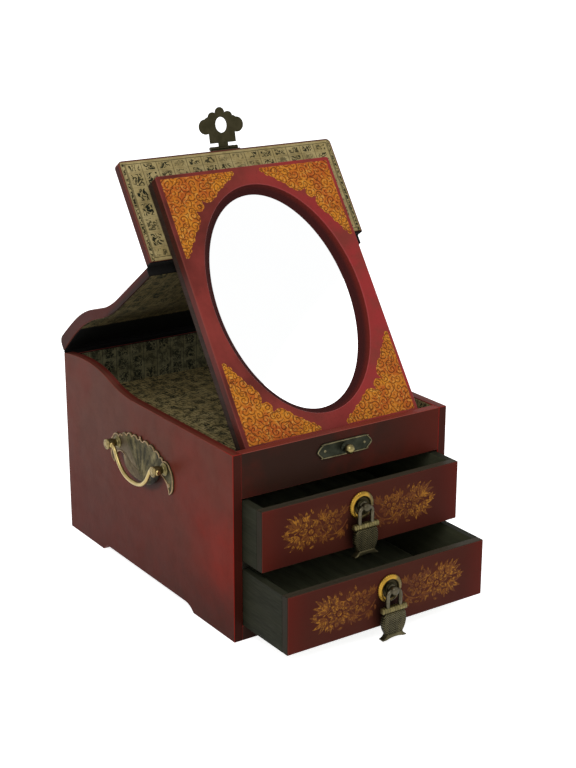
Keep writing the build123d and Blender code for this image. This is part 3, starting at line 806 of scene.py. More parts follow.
class VANITY_OT_linings(bpy.types.Operator):
    """Printed paper inside the box and the lid"""
    bl_idname = "vanity.linings"
    bl_label = "Linings"

    def execute(self, context):
        along = leaf_axes()[0]

        def on_plan(paint):
            return paint.xyz[:2]

        def on_side(paint):
            return paint.xyz[1:]

        def on_back(paint):
            return paint.xyz[::2]

        def on_leaf(paint):
            return paint.xyz[0], paint.from_hinge(along)

        # The third number darkens each lining as painted shade, most on the back wall and in the lid
        refinish(printed_paper("floor_paper", on_plan, 0.08, wash=0.75), "floor_lining")
        refinish(printed_paper("side_paper", on_side, 0.35), "wall_lining_left",
                 "wall_lining_right")
        refinish(printed_paper("back_paper", on_back, 0.5, tone=(0.92, 1.08, 1.3)),
                 "wall_lining_back", "wall_lining_front")
        border = (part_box("front_leaf_lining")[1][0], 0.001, 0.085)
        refinish(printed_paper("leaf_paper", on_leaf, dabs=1.0, wash=0.22, border=border),
                 "front_leaf_lining")
        refinish(printed_paper("lid_paper", on_plan, 0.68), "rear_lid_lining")
        refinish(bare_wood("hinge_strip", chip(14, 14, 13)), "rear_lid_strip")
        return {"FINISHED"}


class VANITY_OT_lid(bpy.types.Operator):
    """The lid's two hinged leaves"""
    bl_idname = "vanity.lid"
    bl_label = "Lid"

    def execute(self, context):
        leaf, ease = lacquer_coat("leaf_lacquer", leaf_colour), box_settings().lacquer.thin_ease
        for node in ("rear_lid_panel", "front_leaf"):
            eased(node, leaf, ease, near=LEAF_HINGE)
        return {"FINISHED"}


# ------------------------------------------------------------------ the mirror
# middle and radius of each lobe along an arm of the corner ornament, from the diagonal outwards
LOBES = ((22.0, 22.0, 7.6), (27.0, 25.5, 3.2), (35.0, 16.0, 7.4), (41.5, 15.6, 4.2),
         (45.0, 9.5, 6.0), (50.5, 9.4, 3.6), (54.0, 5.0, 4.6), (59.5, 4.2, 3.0), (63.5, 1.6, 2.3))


def mirror_paint():
    """Red lacquer with gold scrollwork in the frame's four corners."""
    settings = box_settings()
    gilding, lacquer = settings.gilding, settings.lacquer
    paint = Paint("frame_lacquer", Specular_IOR_Level=lacquer.gloss)
    x = paint.xyz[0]
    half_x, half_y, face = (size * MM for size in (*FRAME_HALF, FRAME_FACE))
    height, level = (paint.from_hinge(axis) for axis in leaf_axes())
    rise = abs(height - FRAME_MIDDLE * MM)
    smoked = paint.noise(0.05, 4, 0.6).over(0.5, 0.25) * (0.56 - x * 4.4).most(0.05)
    blush = paint.noise(0.024, 3, 0.5, shift=2.0).over(0.47, 0.12)
    border = abs(x).over(half_x - 0.0004, 0.0003).most(rise.over(half_y - 0.0004, 0.0003))
    high = height.over(-0.03, 0.06) * 0.35 + 0.4
    within = abs(x).under(half_x - 0.0015, 0.0004)
    flare = level.under(face - 0.0011, 0.0006) * within
    ring = level.over(face - 0.0034, 0.0017) * (0.25 + x.over(0.03, 0.04) * 0.75)
    red = paint.coats(
        lacquer.mirror_red,
        (smoked * 0.9, lacquer.umber),
        (blush * (0.08 + x.over(0.02, 0.06) * 0.62), chip(158, 48, 50)),
        # painted shade: the frame's side faces darken in umber, most towards the top
        (border * level.under(face - 0.0014, 0.0004) * high, lacquer.umber),
        # painted highlight along the frame's outer front arris
        (border * level.over(face - 0.0013, 0.0003) * 0.35, lacquer.rubbed_and_lit_edge),
        # painted highlight on the rounding into the oval
        (level.under(face - 0.00035, 0.0002) * within * 0.4, chip(176, 84, 84)),
        # painted shade in the flared opening, lighter towards the face and on the right
        (flare * 0.92, paint.mix(ring, lacquer.mirror_shade, chip(92, 30, 22))))
    # the corner ornament, drawn once and folded over the frame's middle lines and its diagonal
    u = half_x - gilding.margin - abs(x)
    v = half_y - gilding.margin - rise
    wobble = paint.noise(0.004, 3) - 0.5
    far, near = u.most(v), u.least(v)
    flat = paint.join(far, near)
    edge = (far * 0.56 + near - 0.0352).most(far + near - 0.048)
    edge = edge.least((near - 0.004).most(far - 0.0615))
    for across, up, size in LOBES:
        reach = paint.vector("DISTANCE", flat, (across * MM, up * MM, 0), output=1)
        edge = edge.least(reach - size * MM)
    edge = edge + wobble * 0.0013
    inside = u.over(0, 0.0003) * v.over(0, 0.0003) * level.over(face - 0.00035, 0.0002)
    gold = edge.under(0.0, 0.00022) * inside
    warped = paint.vector("ADD", flat, paint.join(wobble * 0.0022, wobble * -0.0017))
    cells = {"voronoi_dimensions": "2D"}, {"Vector": warped, "Scale": 1 / gilding.curl,
                                           "Randomness": 0.9}
    chance = paint.axes(paint.node("TexVoronoi", *cells, output=1))[0]
    middle = paint.node("TexVoronoi", *cells, output=2)
    du, dv = paint.axes(paint.vector("SUBTRACT", warped, middle))[:2]
    winding = 2 * math.pi / (gilding.curl * 0.38)
    curl = (squares(du, dv) ** 0.5 * winding + dv.bearing(du) * (chance.over(0.5, 0.001) * 2 - 1)
            + chance * 6 + wobble * 4).wave().over(0.6, 0.28)
    curl = curl.most(abs(edge + 0.0012).under(0.00022, 0.00015))
    rubbed = paint.noise(0.013, 5, 0.65, shift=5.0)
    core = (far + near).under(0.066, 0.03) * 0.3 + edge.over(-0.006, 0.004) * -0.3
    glint = paint.noise(0.0022, 3, 0.6, shift=6.0).over(0.58, 0.06)
    metal_leaf = paint.coats(
        gilding.gold,
        ((rubbed.over(0.5, 0.13) * 0.85 + core).most(0).least(1), gilding.amber),
        (glint * 0.5, chip(226, 172, 84)),
        (curl * (0.5 + rubbed * 0.55).least(0.95), gilding.outline))
    colour = paint.coats(red, (gold * 0.96, metal_leaf), (scuffs(paint) * 0.3, lacquer.umber))
    return paint.finish(Base_Color=colour, Roughness=0.36 + gold * 0.14 + flare * 0.6,
                        Normal=paint.bump(gold * (1 - curl * 0.7), 0.00015, 0.6))


def around(half_x, half_y, corner, turns):
    """Points of a rounded rectangle's edge, or of an oval where corner is None."""
    loop = []
    for turn in turns:
        c, s = math.cos(turn), math.sin(turn)
        if corner is None:
            scale = 1 / math.hypot(c / half_x, s / half_y)
        else:
            scale = min(half_x / max(abs(c), 1e-9), half_y / max(abs(s), 1e-9))
            cx, cy = half_x - corner, half_y - corner
            if abs(c) * scale > cx and abs(s) * scale > cy:
                b = abs(c) * cx + abs(s) * cy
                scale = b + math.sqrt(max(b * b - (cx * cx + cy * cy - corner * corner), 0.0))
        loop.append((c * scale, s * scale))
    return loop


class VANITY_OT_mirror(bpy.types.Operator):
    """The mirror's lacquered frame with its flared oval, the back board and the glass"""
    bl_idname = "vanity.mirror"
    bl_label = "Mirror"

    def execute(self, context):
        half_x, half_y = FRAME_HALF
        diagonal, corner = math.atan2(half_y, half_x), 2.0
        # even steps, and finer ones round each corner
        turns = sorted({round(turn, 5) for turn in full_turn(176)}
                       | {round(start + hand * (diagonal + d / 1000), 5)
                          for start, hand in ((0, 1), (math.pi, -1), (math.pi, 1),
                                              (2 * math.pi, -1))
                          for d in range(-14, 15, 4)})
        # the section as half sizes, corner and level: up the edge, over the face to the oval
        # opening, and down its flare to the back
        rounding, lip = 1.1, 1.3
        rows = [(half_x, half_y, corner, FRAME_BACK), (half_x, half_y, corner, FRAME_FACE - 1.4)]
        for a in (0.0, 0.4, 0.8, 1.2, math.pi / 2):
            inset = rounding * (1 - math.cos(a))
            rows.append((half_x - inset, half_y - inset, corner,
                         FRAME_FACE - rounding + rounding * math.sin(a)))
        rows += [(half_x - 1.5, half_y - 1.5, corner, FRAME_FACE), (69.9, 97.5, None, FRAME_FACE)]
        rows += [(69.5 - lip * math.sin(a), 97.1 - lip * math.sin(a), None,
                  FRAME_FACE - lip + lip * math.cos(a)) for a in (0.0, 0.35, 0.7, 1.05, 1.3)]
        rows += [(68.05, 95.7, None, 20.0), (61.6, 91.0, None, 15.0), (60.9, 90.3, None, 14.6),
                 (60.6, 90.0, None, FRAME_BACK)]
        up, out = leaf_axes()
        frame_mesh = rings([[(x, y, z) for x, y in around(a, b, bend, turns)]
                            for a, b, bend, z in rows],
                           shifted(standing(LEAF_HINGE, up, out), y=FRAME_MIDDLE), closed=True)
        show("mirror_frame_lacquered", frame_mesh, "front_flap", mirror_paint(),
             ("mirror_frame",), smooth=50)
        eased("mirror_backboard", bare_wood("backboard_stain", chip(58, 44, 38)),
              box_settings().lacquer.front_ease)
        glass = Paint("silvered_glass", Metallic=1.0, Roughness=0.015, Coat_Weight=0.0)
        breath = glass.mix(glass.noise(0.05, 3), chip(255, 255, 255), chip(253, 254, 254))
        refinish(glass.finish(Base_Color=breath), "mirror_glass")
        return {"FINISHED"}


# ------------------------------------------------------------------ drawers
class VANITY_OT_drawers(bpy.types.Operator):
    """Two drawers with lacquered fronts and stained boxes"""
    bl_idname = "vanity.drawers"
    bl_label = "Drawers"

    def execute(self, context):
        lacquer = box_settings().lacquer
        front = lacquer_coat("drawer_front_lacquer", drawer_colour, 0.05)
        wood = bare_wood("drawer_wood", lacquer.drawer_wood, lacquer.drawer_inside_painted_light)
        # the drawer bottoms take the pale inside colour whole, as painted light
        floor = bare_wood("drawer_floor", lacquer.drawer_inside_painted_light)
        for drawer in DRAWERS:
            eased(drawer + "_front", front, lacquer.front_ease)
            for part, finish in (("_left", wood), ("_right", wood), ("_back", wood),
                                 ("_bottom", floor)):
                eased(drawer + part, finish, lacquer.thin_ease)
        return {"FINISHED"}


# ------------------------------------------------------------------ gilding on the drawers
def heading_to(turn):
    return Vector((math.cos(turn), math.sin(turn)))


def across_path(path, step):
    """The unit direction across a flat path at one of its points."""
    ahead = Vector(path[min(step + 1, len(path) - 1)]) - Vector(path[max(step - 1, 0)])
    return Vector((-ahead.y, ahead.x)).normalized()


class Relief:
    """Low leaves, petals and stems on a flat front, gathered into one mesh."""

    def __init__(self, rise):
        self.verts, self.faces, self.rise = [], [], rise

    def ribbon(self, line, widths, vein=0.0):
        """A strip along a flat line, raised in the middle and sunk at its edges."""
        section = ((-1.0, -0.15), (-0.72, 0.8), (-0.2, 1.0), (0.0, 1.0 - vein), (0.2, 1.0),
                   (0.72, 0.8), (1.0, -0.15))
        count, start = len(section), len(self.verts)
        for step, (point, width) in enumerate(zip(line, widths)):
            side = across_path(line, step) * width
            for w, level in section:
                self.verts.append((*(Vector(point) + side * w), self.rise * level))
        for first in range(start, len(self.verts) - count, count):
            self.faces += [(a, a + 1, a + count + 1, a + count)
                           for a in range(first, first + count - 1)]
            self.faces.append((first, first + count, first + 2 * count - 1, first + count - 1))
        end = len(self.verts)
        self.faces += [tuple(range(start + count - 1, start - 1, -1)),
                       tuple(range(end - count, end))]

    def petal(self, base, heading, reach, width, bend=0.0, steps=6, blunt=1.0):
        """A leaf that starts at base, heads off and bends on its way; a low blunt rounds it."""
        point, line, widths = Vector(base), [], []
        for step in range(steps + 1):
            t = step / steps
            line.append(tuple(point))
            widths.append(width / 2 * max(math.sin(math.pi * t ** 0.75), 0.0) ** blunt + 0.04)
            point = point + heading_to(heading + bend * t) * (reach / steps)
        self.ribbon(line, widths, 0.8)

    def blossom(self, middle, size, count, spin):
        """Rings of rounded petals round a small bud."""
        middle = Vector(middle)
        for ring, start, reach, width in ((0.0, 0.56, 0.46, 0.5), (0.5, 0.3, 0.42, 0.36)):
            for turn in full_turn(count, ring):
                self.petal(middle + heading_to(spin + turn) * size * start, spin + turn + 0.2,
                           size * reach, size * width, -0.4, 5, 0.55)
        bud = [tuple(middle + heading_to(a) * 0.15 * size) for a in (*full_turn(12), 2 * math.pi)]
        self.ribbon(bud, [size * 0.075] * len(bud))
        self.petal(middle - Vector((0.06 * size, 0)), 0.0, size * 0.12, size * 0.12, 0, 5, 0.5)

    def fan(self, base, headings, reach, width, bend):
        """A spray of leaves from one point, longest in the middle."""
        for i, heading in enumerate(headings):
            middle = 1 - abs(i - (len(headings) - 1) / 2) / len(headings) * 0.6
            self.petal(base, heading, reach * middle, width, bend, 7)


# each fan: where it starts, the degrees its leaves head in, their length, width and bend
FANS = ((58.0, 2.0, (118, 94, 70, 46, 20), 16.0, 4.6, -0.8),
        (58.5, -2.0, (-108, -80, -50, -18), 15.0, 4.6, 0.8),
        (51.0, 7.0, (140, 108, 72), 9.0, 3.6, -0.6),
        (36.0, 6.0, (128, 100, 70, 42), 9.5, 3.4, 0.6),
        (34.5, -5.2, (-48, -74, -100, -126), 10.0, 3.6, -0.6),
        (55.0, -8.0, (-140, -112, -84), 8.0, 3.0, 0.6),
        (18.0, -6.5, (-30, -62, -94, -126), 8.6, 3.2, 0.6),
        (15.0, 6.0, (24, 54, 84, 112), 8.6, 3.2, 0.6),
        (66.0, 0.0, (36, 4, -30), 7.0, 2.6, 0.4))
STEM = ((12.5, 1.0), (18, -5.5), (28, -8.5), (36, -1.5), (38, 4.5), (47, 7.5), (56, 2.0),
        (61, -0.5))
BLOSSOMS = ((26.5, 2.6, 9.8, 8, 0.3), (46.0, -1.6, 10.8, 9, 0.9))
LOOSE_LEAVES = ((30.5, 13.0, 60), (24.5, -11.4, -20), (43.0, -13.4, -30), (43.5, 12.6, 40),
                (13.5, -3.0, -110), (53.5, 13.0, 20))


def garland(relief):
    """Blossoms, leaf sprays and fans on both sides of a pull."""
    for hand in (1, -1):
        def turned_to(*degrees):
            return [math.radians(d if hand > 0 else 180 - d) for d in degrees]

        stem = smooth_path([(hand * x, y) for x, y in STEM], 5)
        relief.ribbon([(p.x, p.y) for p in stem], [0.6] * len(stem))
        for x, y, size, count, spin in BLOSSOMS:
            relief.blossom((hand * x, y), size, count, spin)
        for x, y, degrees, reach, width, bend in FANS:
            relief.fan((hand * x, y), turned_to(*degrees), reach, width, bend * hand)
        for x, y, degrees in LOOSE_LEAVES:
            relief.petal((hand * x, y), *turned_to(degrees), 5.0, 2.4, 0.7 * hand)


def gold_paint(name, face):
    """Thin gold paint on a front at the given Y: bright on the raised work, worn in patches."""
    gilding = box_settings().gilding
    paint = Paint(name, Specular_IOR_Level=DULL)
    x, y, z = paint.xyz
    raised = (face - y).over(gilding.relief * 0.6, gilding.relief * 0.25)
    rubbed = paint.noise(0.009, 5, 0.65, shift=3.0)
    fine = paint.noise(0.0012, 3, 0.6, shift=6.0)
    glint = paint.noise(0.0026, 3, 0.6, shift=5.0).over(0.54, 0.06) * abs(x).over(0.03, 0.03)
    worn = (paint.noise(0.015, 4, 0.6, shift=9.0) * 0.5 + fine * 0.5).under(0.47, 0.08)
    colour = paint.coats(
        gilding.drawer_gold,
        ((rubbed.over(0.5, 0.14) + abs(x).under(0.034, 0.03) * 0.35).least(1),
         gilding.drawer_amber),
        (glint * 0.7, chip(186, 126, 42)),
        (raised.under(0.5, 0.5) * 0.85, chip(54, 24, 14)),
        (worn * 0.8, chip(88, 43, 23)))
    return paint.finish(Base_Color=colour, Roughness=0.45 + fine * 0.15,
                        Normal=paint.bump(fine, 0.0001, 0.5))


class VANITY_OT_gilding(bpy.types.Operator):
    """Gilt garlands in low relief on the drawers' fronts"""
    bl_idname = "vanity.gilding"
    bl_label = "Drawer gilding"

    def execute(self, context):
        relief = Relief(box_settings().gilding.relief / MM)
        garland(relief)
        for drawer, (x, face, level, *_) in DRAWERS.items():
            mesh = mesh_of(relief.verts, relief.faces, facing(x, face, level))
            show(f"{drawer}_gilding", mesh, drawer, gold_paint(f"{drawer}_gold", face * MM), (),
                 60)
        return {"FINISHED"}


# ------------------------------------------------------------------ hinge tapes
# ends of the tapes: at the lid's sides, outside its hinges and between them
TAPE_END, BESIDE_HINGE, BETWEEN_HINGES = 99.7, 63.6, 36.4
# the rear tape's path as (y, z), from the back board's top round on to the lid
REAR_TAPE = ((127.2, 160.12), (133.6, 160.15), (134.1, 160.9), (134.34, 161.6),
             (132.49, 162.45), (129.85, 165.45))


def tape_strip(start, end, path):
    """A band of tape along X that follows a flat path of (y, z)."""
    count = max(2, round((end - start) / 3))
    sides = [across_path(path, step) * TAPE_THICKNESS / 2 for step in range(len(path))]
    section = ([Vector(p) + side for p, side in zip(path, sides)]
               + [Vector(p) - side for p, side in zip(path, sides)][::-1])
    return rings([[(start + (end - start) * step / count, *point) for point in section]
                  for step in range(count + 1)])


class VANITY_OT_tapes(bpy.types.Operator):
    """Black cloth tapes along the lid's two hinge lines"""
    bl_idname = "vanity.tapes"
    bl_label = "Hinge tapes"

    def execute(self, context):
        paint = Paint("black_tape", Specular_IOR_Level=0.1)
        x, y, z = paint.xyz
        weave = (x * 5200).wave() * ((y + z) * 5200).wave()
        fluff = paint.noise(0.004, 4)
        cloth = paint.mix((weave * 0.3 + fluff * 0.6).most(0), chip(12, 11, 11), chip(34, 33, 30))
        black = paint.finish(Base_Color=cloth, Roughness=0.8 + fluff * 0.15,
                             Normal=paint.bump(weave, 0.00012, 0.5))
        (along, out), (back, above) = leaf_axes(), lid_axes()
        hinge = LEAF_HINGE / MM
        off_board, bend, hang = 0.35, 0.7, 6.6
        path = [hinge + back * off_board - above * hang, hinge + back * off_board - above * bend,
                hinge + (back + along) * 0.2 + (out - above) * 0.15,
                hinge + along * off_board + out * bend, hinge + along * off_board + out * hang]
        run = (path[-1] - path[0]).normalized()
        for name, start, end in (("left", -TAPE_END, -BESIDE_HINGE),
                                 ("middle", -BETWEEN_HINGES, BETWEEN_HINGES),
                                 ("right", BESIDE_HINGE, TAPE_END)):
            tape = show(f"fold_tape_{name}", tape_strip(start, end, [p.yz for p in path]), None,
                        black, smooth=60)
            self.bend(tape, ("rear_lid", "front_flap"), hinge, run * 0.4,
                      ((end - start) * MM, 0.0141), "front_leaf")
        tape = show("rear_tape", tape_strip(-TAPE_END, TAPE_END, REAR_TAPE), None, black,
                    smooth=60)
        self.bend(tape, ("case", "rear_lid"), Vector((0, 134.2, 160.9)),
                  Vector((0, 0.445, 0.896)) * 0.5, (0.1994, 0.0144), "back_panel")
        return {"FINISHED"}

    def bend(self, tape, bodies, middle, reach, flat, board):
        """Bake the tape's place into its mesh."""
        tuple((middle - reach) * MM)
        tuple((middle + reach) * MM)
        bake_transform(tape)


# ------------------------------------------------------------------ fittings
# turned profiles as (radius, height)
POST = ((AXIS, 1.2), (5.3, 1.2), (5.3, 1.7), (4.7, 2.3), (3.5, 2.8), (3.0, 3.6), (3.1, 4.6),
        (3.7, 5.6), (4.0, 7.0), (4.0, 10.3), (AXIS, 10.4))
POST_HEAD = ((AXIS, 10.3), (3.8, 10.3), (4.4, 10.7), (4.4, 11.7), (4.1, 12.2), (3.2, 12.4),
             (2.7, 12.1), (1.2, 12.5), (AXIS, 12.7))
ROSETTE = ((6.6, 0.1), (10.7, 0.1), (11.0, 0.6), (10.9, 1.2), (10.2, 1.9), (9.2, 2.3), (8.2, 2.4),
           (7.2, 2.1), (6.6, 1.4))
BOSS = ((AXIS, 0.2), (7.0, 0.2), (7.0, 0.9), (6.0, 0.8), (5.0, 1.0), (4.6, 1.8), (4.2, 2.5),
        (3.6, 2.8), (AXIS, 2.8))
EYE = ((AXIS, 2.5), (3.6, 2.5), (3.6, 3.2), (2.9, 3.7), (2.9, 4.4), (3.4, 4.9), (3.5, 7.2),
       (3.2, 8.3), (2.3, 9.1), (1.1, 9.35), (AXIS, 9.4))
CATCH_NECK = ((AXIS, 0.9), (3.9, 0.9), (3.9, 1.5), (2.8, 2.0), (2.2, 3.0), (2.2, 4.4),
              (AXIS, 4.5))
KNUCKLE = ((AXIS, -4.4), (1.2, -4.4), (1.6, -4.15), (1.6, 4.15), (1.2, 4.4), (AXIS, 4.4))
# right half of the handle plate's scalloped edge: ends of arcs, each with a point between
PLATE_EDGE = ((0, 15.8), (1.5, 13.5), (4.6, 13.0), (9.2, 14.9), (13.2, 12.4), (18.4, 14.0),
              (22.4, 10.8), (27.2, 11.5), (30.6, 8.0), (33.4, 8.6), (35.4, 6.2), (41.5, 7.0),
              (46, 3.2), (50.0, -2.5), (50.2, -9.5), (48.6, -16), (43.8, -19.6), (41.6, -12.8),
              (35.6, -7.6), (30.0, -7.0), (24.6, -10.8), (13.6, -17.6), (0, -19.2))
BAIL_HALF = ((0, -21.2), (7.5, -20.6), (15, -18.2), (21.5, -13.2), (26, -7.0), (29.2, -2.2),
             (32.2, -0.2), (36, 0), (40.2, 0))


def ribbed_brass(name):
    """Brass pressed with ribs that fan out over a side plate like a shell's."""
    metal_set = box_settings().metal
    paint = Paint(name, Metallic=1.0)
    _, y, z = paint.xyz
    middle, level = (v * MM for v in PLATE_MIDDLE)
    root, ribs = 0.084, 27.0
    rib = ((z - root).bearing(y - middle) * ribs).wave()
    fine = paint.noise(0.0014, 3, 0.6, shift=3.0)
    cloud = paint.noise(0.008, 5, 0.62)
    along, above = middle - y, z - level
    slant = along * 0.741 + above * 0.672
    # a dark diagonal band across the shell, painted shade of its hollow
    painted_dish_shade = abs(slant + 0.0101).under(0.0016, 0.0028)
    posts = (along ** 2 - abs(along) * 0.072 + 0.0013 + above ** 2 * 1.4) ** 0.5
    dull = rib.under(-0.1, 0.6) * 0.14 + cloud.over(0.45, 0.16) * 0.5 + fine * 0.3 + 0.2
    # the dark band and a painted shadow round the posts are added to the tarnish
    dull = dull.least(1.0).most(painted_dish_shade * 0.8).most(posts.under(0.0125, 0.0045) * 0.95)
    shaded = along.over(0.0155, 0.004) * above.under(-0.005, 0.004) * along.under(0.034, 0.002)
    colour = paint.coats(metal_set.brass, (dull, metal_set.patina),
                         # painted highlight: a paler band on the shell's lower part
                         (slant.under(-0.0132, 0.002) * 0.6, chip(114, 99, 78)),
                         (shaded * 0.9, chip(24, 19, 12)))
    return paint.finish(Base_Color=colour, Roughness=0.42 + dull * 0.2,
                        Normal=paint.bump(rib * 0.18 + fine * 0.5, 0.0003, 0.6))


def basket_brass(name, middle, level):
    """Brass chased like a basket: slanting strokes in columns that turn back on each other."""
    column_width, stroke_pitch = 0.0052, 0.0019
    paint = Paint(name, Metallic=1.0)
    x, y, z = paint.xyz
    off_middle = abs(((x - middle) / column_width).fraction() - 0.5)
    slant = off_middle * column_width
    stroke = (((z - level) + slant * 1.1) * (2 * math.pi / stroke_pitch)).wave()
    seam = off_middle.over(0.46, 0.03)
    fine = paint.noise(0.0012, 3, 0.6)
    dull = (stroke.under(-0.05, 0.5) * 0.75 + seam * 0.4
            + paint.noise(0.006, 4).over(0.5, 0.2) * 0.4).least(1.0)
    colour = paint.mix(dull, box_settings().metal.dark_brass, chip(30, 28, 18))
    return paint.finish(Base_Color=colour, Roughness=0.4 + dull * 0.25,
                        Normal=paint.bump(stroke * 0.5 - seam * 0.6 + fine * 0.3, 0.00035, 0.8))


def rosette_gilt(name, middle, level):
    """Gilding that turns to olive brass on its right and lower side as painted shade."""
    metal_set = box_settings().metal
    paint = Paint(name, Metallic=1.0)
    x, y, z = paint.xyz
    cloud = paint.noise(0.005, 4, 0.6)
    # painted shade: the ring's right and lower side turns olive
    worn = ((x - middle) - (z - level) * 0.6 + (cloud - 0.5) * 0.008).over(0.0015, 0.004)
    radius = ((x - middle) ** 2 + (z - level) ** 2) ** 0.5
    dull = (cloud.over(0.58, 0.12) * 0.4 + paint.hollow().over(0.3, 0.3)).least(1)
    colour = paint.coats(metal_set.gilt, (worn * 0.85, metal_set.dark_brass),
                         (radius.under(0.0078, 0.0004), chip(40, 35, 20)),
                         (dull, metal_set.patina))
    return paint.finish(Base_Color=colour, Roughness=0.32 + worn * 0.12 + dull * 0.2)


def shell_lip(matrix):
    """The shell's lower edge, turned up a little below the bail."""
    half, steps, loops = 28.5, 40, []
    for step in range(steps + 1):
        x = -half + 2 * half * step / steps
        reach = abs(x) / half
        low = -22.2 + 6.0 * reach ** 2 + 6.6 * reach ** 5
        rise = 1.9 + 0.8 * eased_step(reach * 2) - 1.2 * eased_step(reach * 5 - 4)
        inner = low * 0.7 + 1.5
        loops.append([(x * 0.86, inner, 0.7), (x * 0.86, inner, 1.3),
                      (x * 0.96, low + 2.2, rise * 0.8 + 0.2), (x, low + 0.4, rise),
                      (x, low, rise - 0.35), (x, low + 0.5, rise - 0.8),
                      (x * 0.95, low + 2.6, 0.6)])
    return rings(loops, matrix)


class VANITY_OT_handles(bpy.types.Operator):
    """Bail handles on shell plates, one on each side"""
    bl_idname = "vanity.handles"
    bl_label = "Handles"

    def rim(self, outline, local):
        """The plate's raised edge, but for its lower middle, and its two screws."""
        overlap, line = 0.75, []
        for step, (x, y) in enumerate(outline):
            run = Vector(outline[(step + 1) % len(outline)]) - Vector(outline[step - 1])
            run.normalize()
            line.append((x + run.y * overlap, y - run.x * overlap, PLATE_SHEET))
        low = len(line) // 2
        return [wire(line[low + 9:] + line[:low - 8], 0.62, local, 3),
                *[nail_head(1.9, 1.0, shifted(local, x, -11.6, 1.1)) for x in (-43.6, 43.6)]]

    def bail(self, local):
        """A drop handle, thicker in the grip, with two beads at each end."""
        metal_set = box_settings().metal
        end = BAIL_HALF[-1][0]
        path, radii = [], []
        for point in smooth_path([*[(-x, y) for x, y in BAIL_HALF[:0:-1]], *BAIL_HALF], 5):
            reach = min(abs(point.x) / end, 1.0)
            path.append((point.x, point.y, BAIL_OUT))
            radii.append((metal_set.bail_middle * (1 - reach) + metal_set.bail_end * reach) / MM)
        beads, radius = [], 2.3
        for hand in (-1, 1):
            for x, half in ((33.0, 0.9), (41.0, 1.5)):
                profile = [(AXIS, -half), (radius * 0.7, -half), (radius, -half * 0.4),
                           (radius, half * 0.4), (radius * 0.7, half), (AXIS, half)]
                beads.append(turned(profile, shifted(local, hand * x, z=BAIL_OUT) @ quarter("Y"),
                                    24))
        return [wire(path, radii, local), *beads]

    def execute(self, context):
        metal_set = box_settings().metal
        brass = metal("rubbed_brass", metal_set.brass, rough=metal_set.roughness, spread=0.46)
        grip = metal("worn_bright_brass", metal_set.grip, metal_set.brass, 0.3, 0.6)
        edge = metal("plate_edge_brass", metal_set.edge, rough=0.36, spread=0.55)
        worn = metal("post_head_brass", chip(150, 132, 88), rough=0.34)
        shell = ribbed_brass("shell_brass")
        half = [point for start, through, end in zip(PLATE_EDGE[::2], PLATE_EDGE[1::2],
                                                     PLATE_EDGE[2::2])
                for point in arc(start, through, end, 9)]
        # the tip stands twice, so that the rim turns round it
        outline = [*half, PLATE_EDGE[-1], *[(-x, y) for x, y in reversed(half)]]
        for name, side in (("left", -1), ("right", 1)):
            local = facing(side * CASE_HALF / MM, *PLATE_MIDDLE, side)
            posts = [shifted(local, x) for x in (-POST_SPREAD, POST_SPREAD)]
            for piece, meshes, finish, replaces in (
                    ("shell_plate",
                     [cut_sheet([outline], PLATE_SHEET, 0.3, local), shell_lip(local)],
                     shell, (f"{name}_handle_plate",)),
                    ("plate_rim", self.rim(outline, local), edge, ()),
                    ("post_heads", [turned(POST_HEAD, at) for at in posts], worn, ()),
                    ("turned_posts", [turned(POST, at) for at in posts], brass,
                     (f"{name}_handle_posts",))):
                show(f"{name}_{piece}", meshes, "case", finish, replaces)
            show(f"{name}_bail_handle", self.bail(local), f"{name}_handle", grip,
                 (f"{name}_bail",))
        return {"FINISHED"}


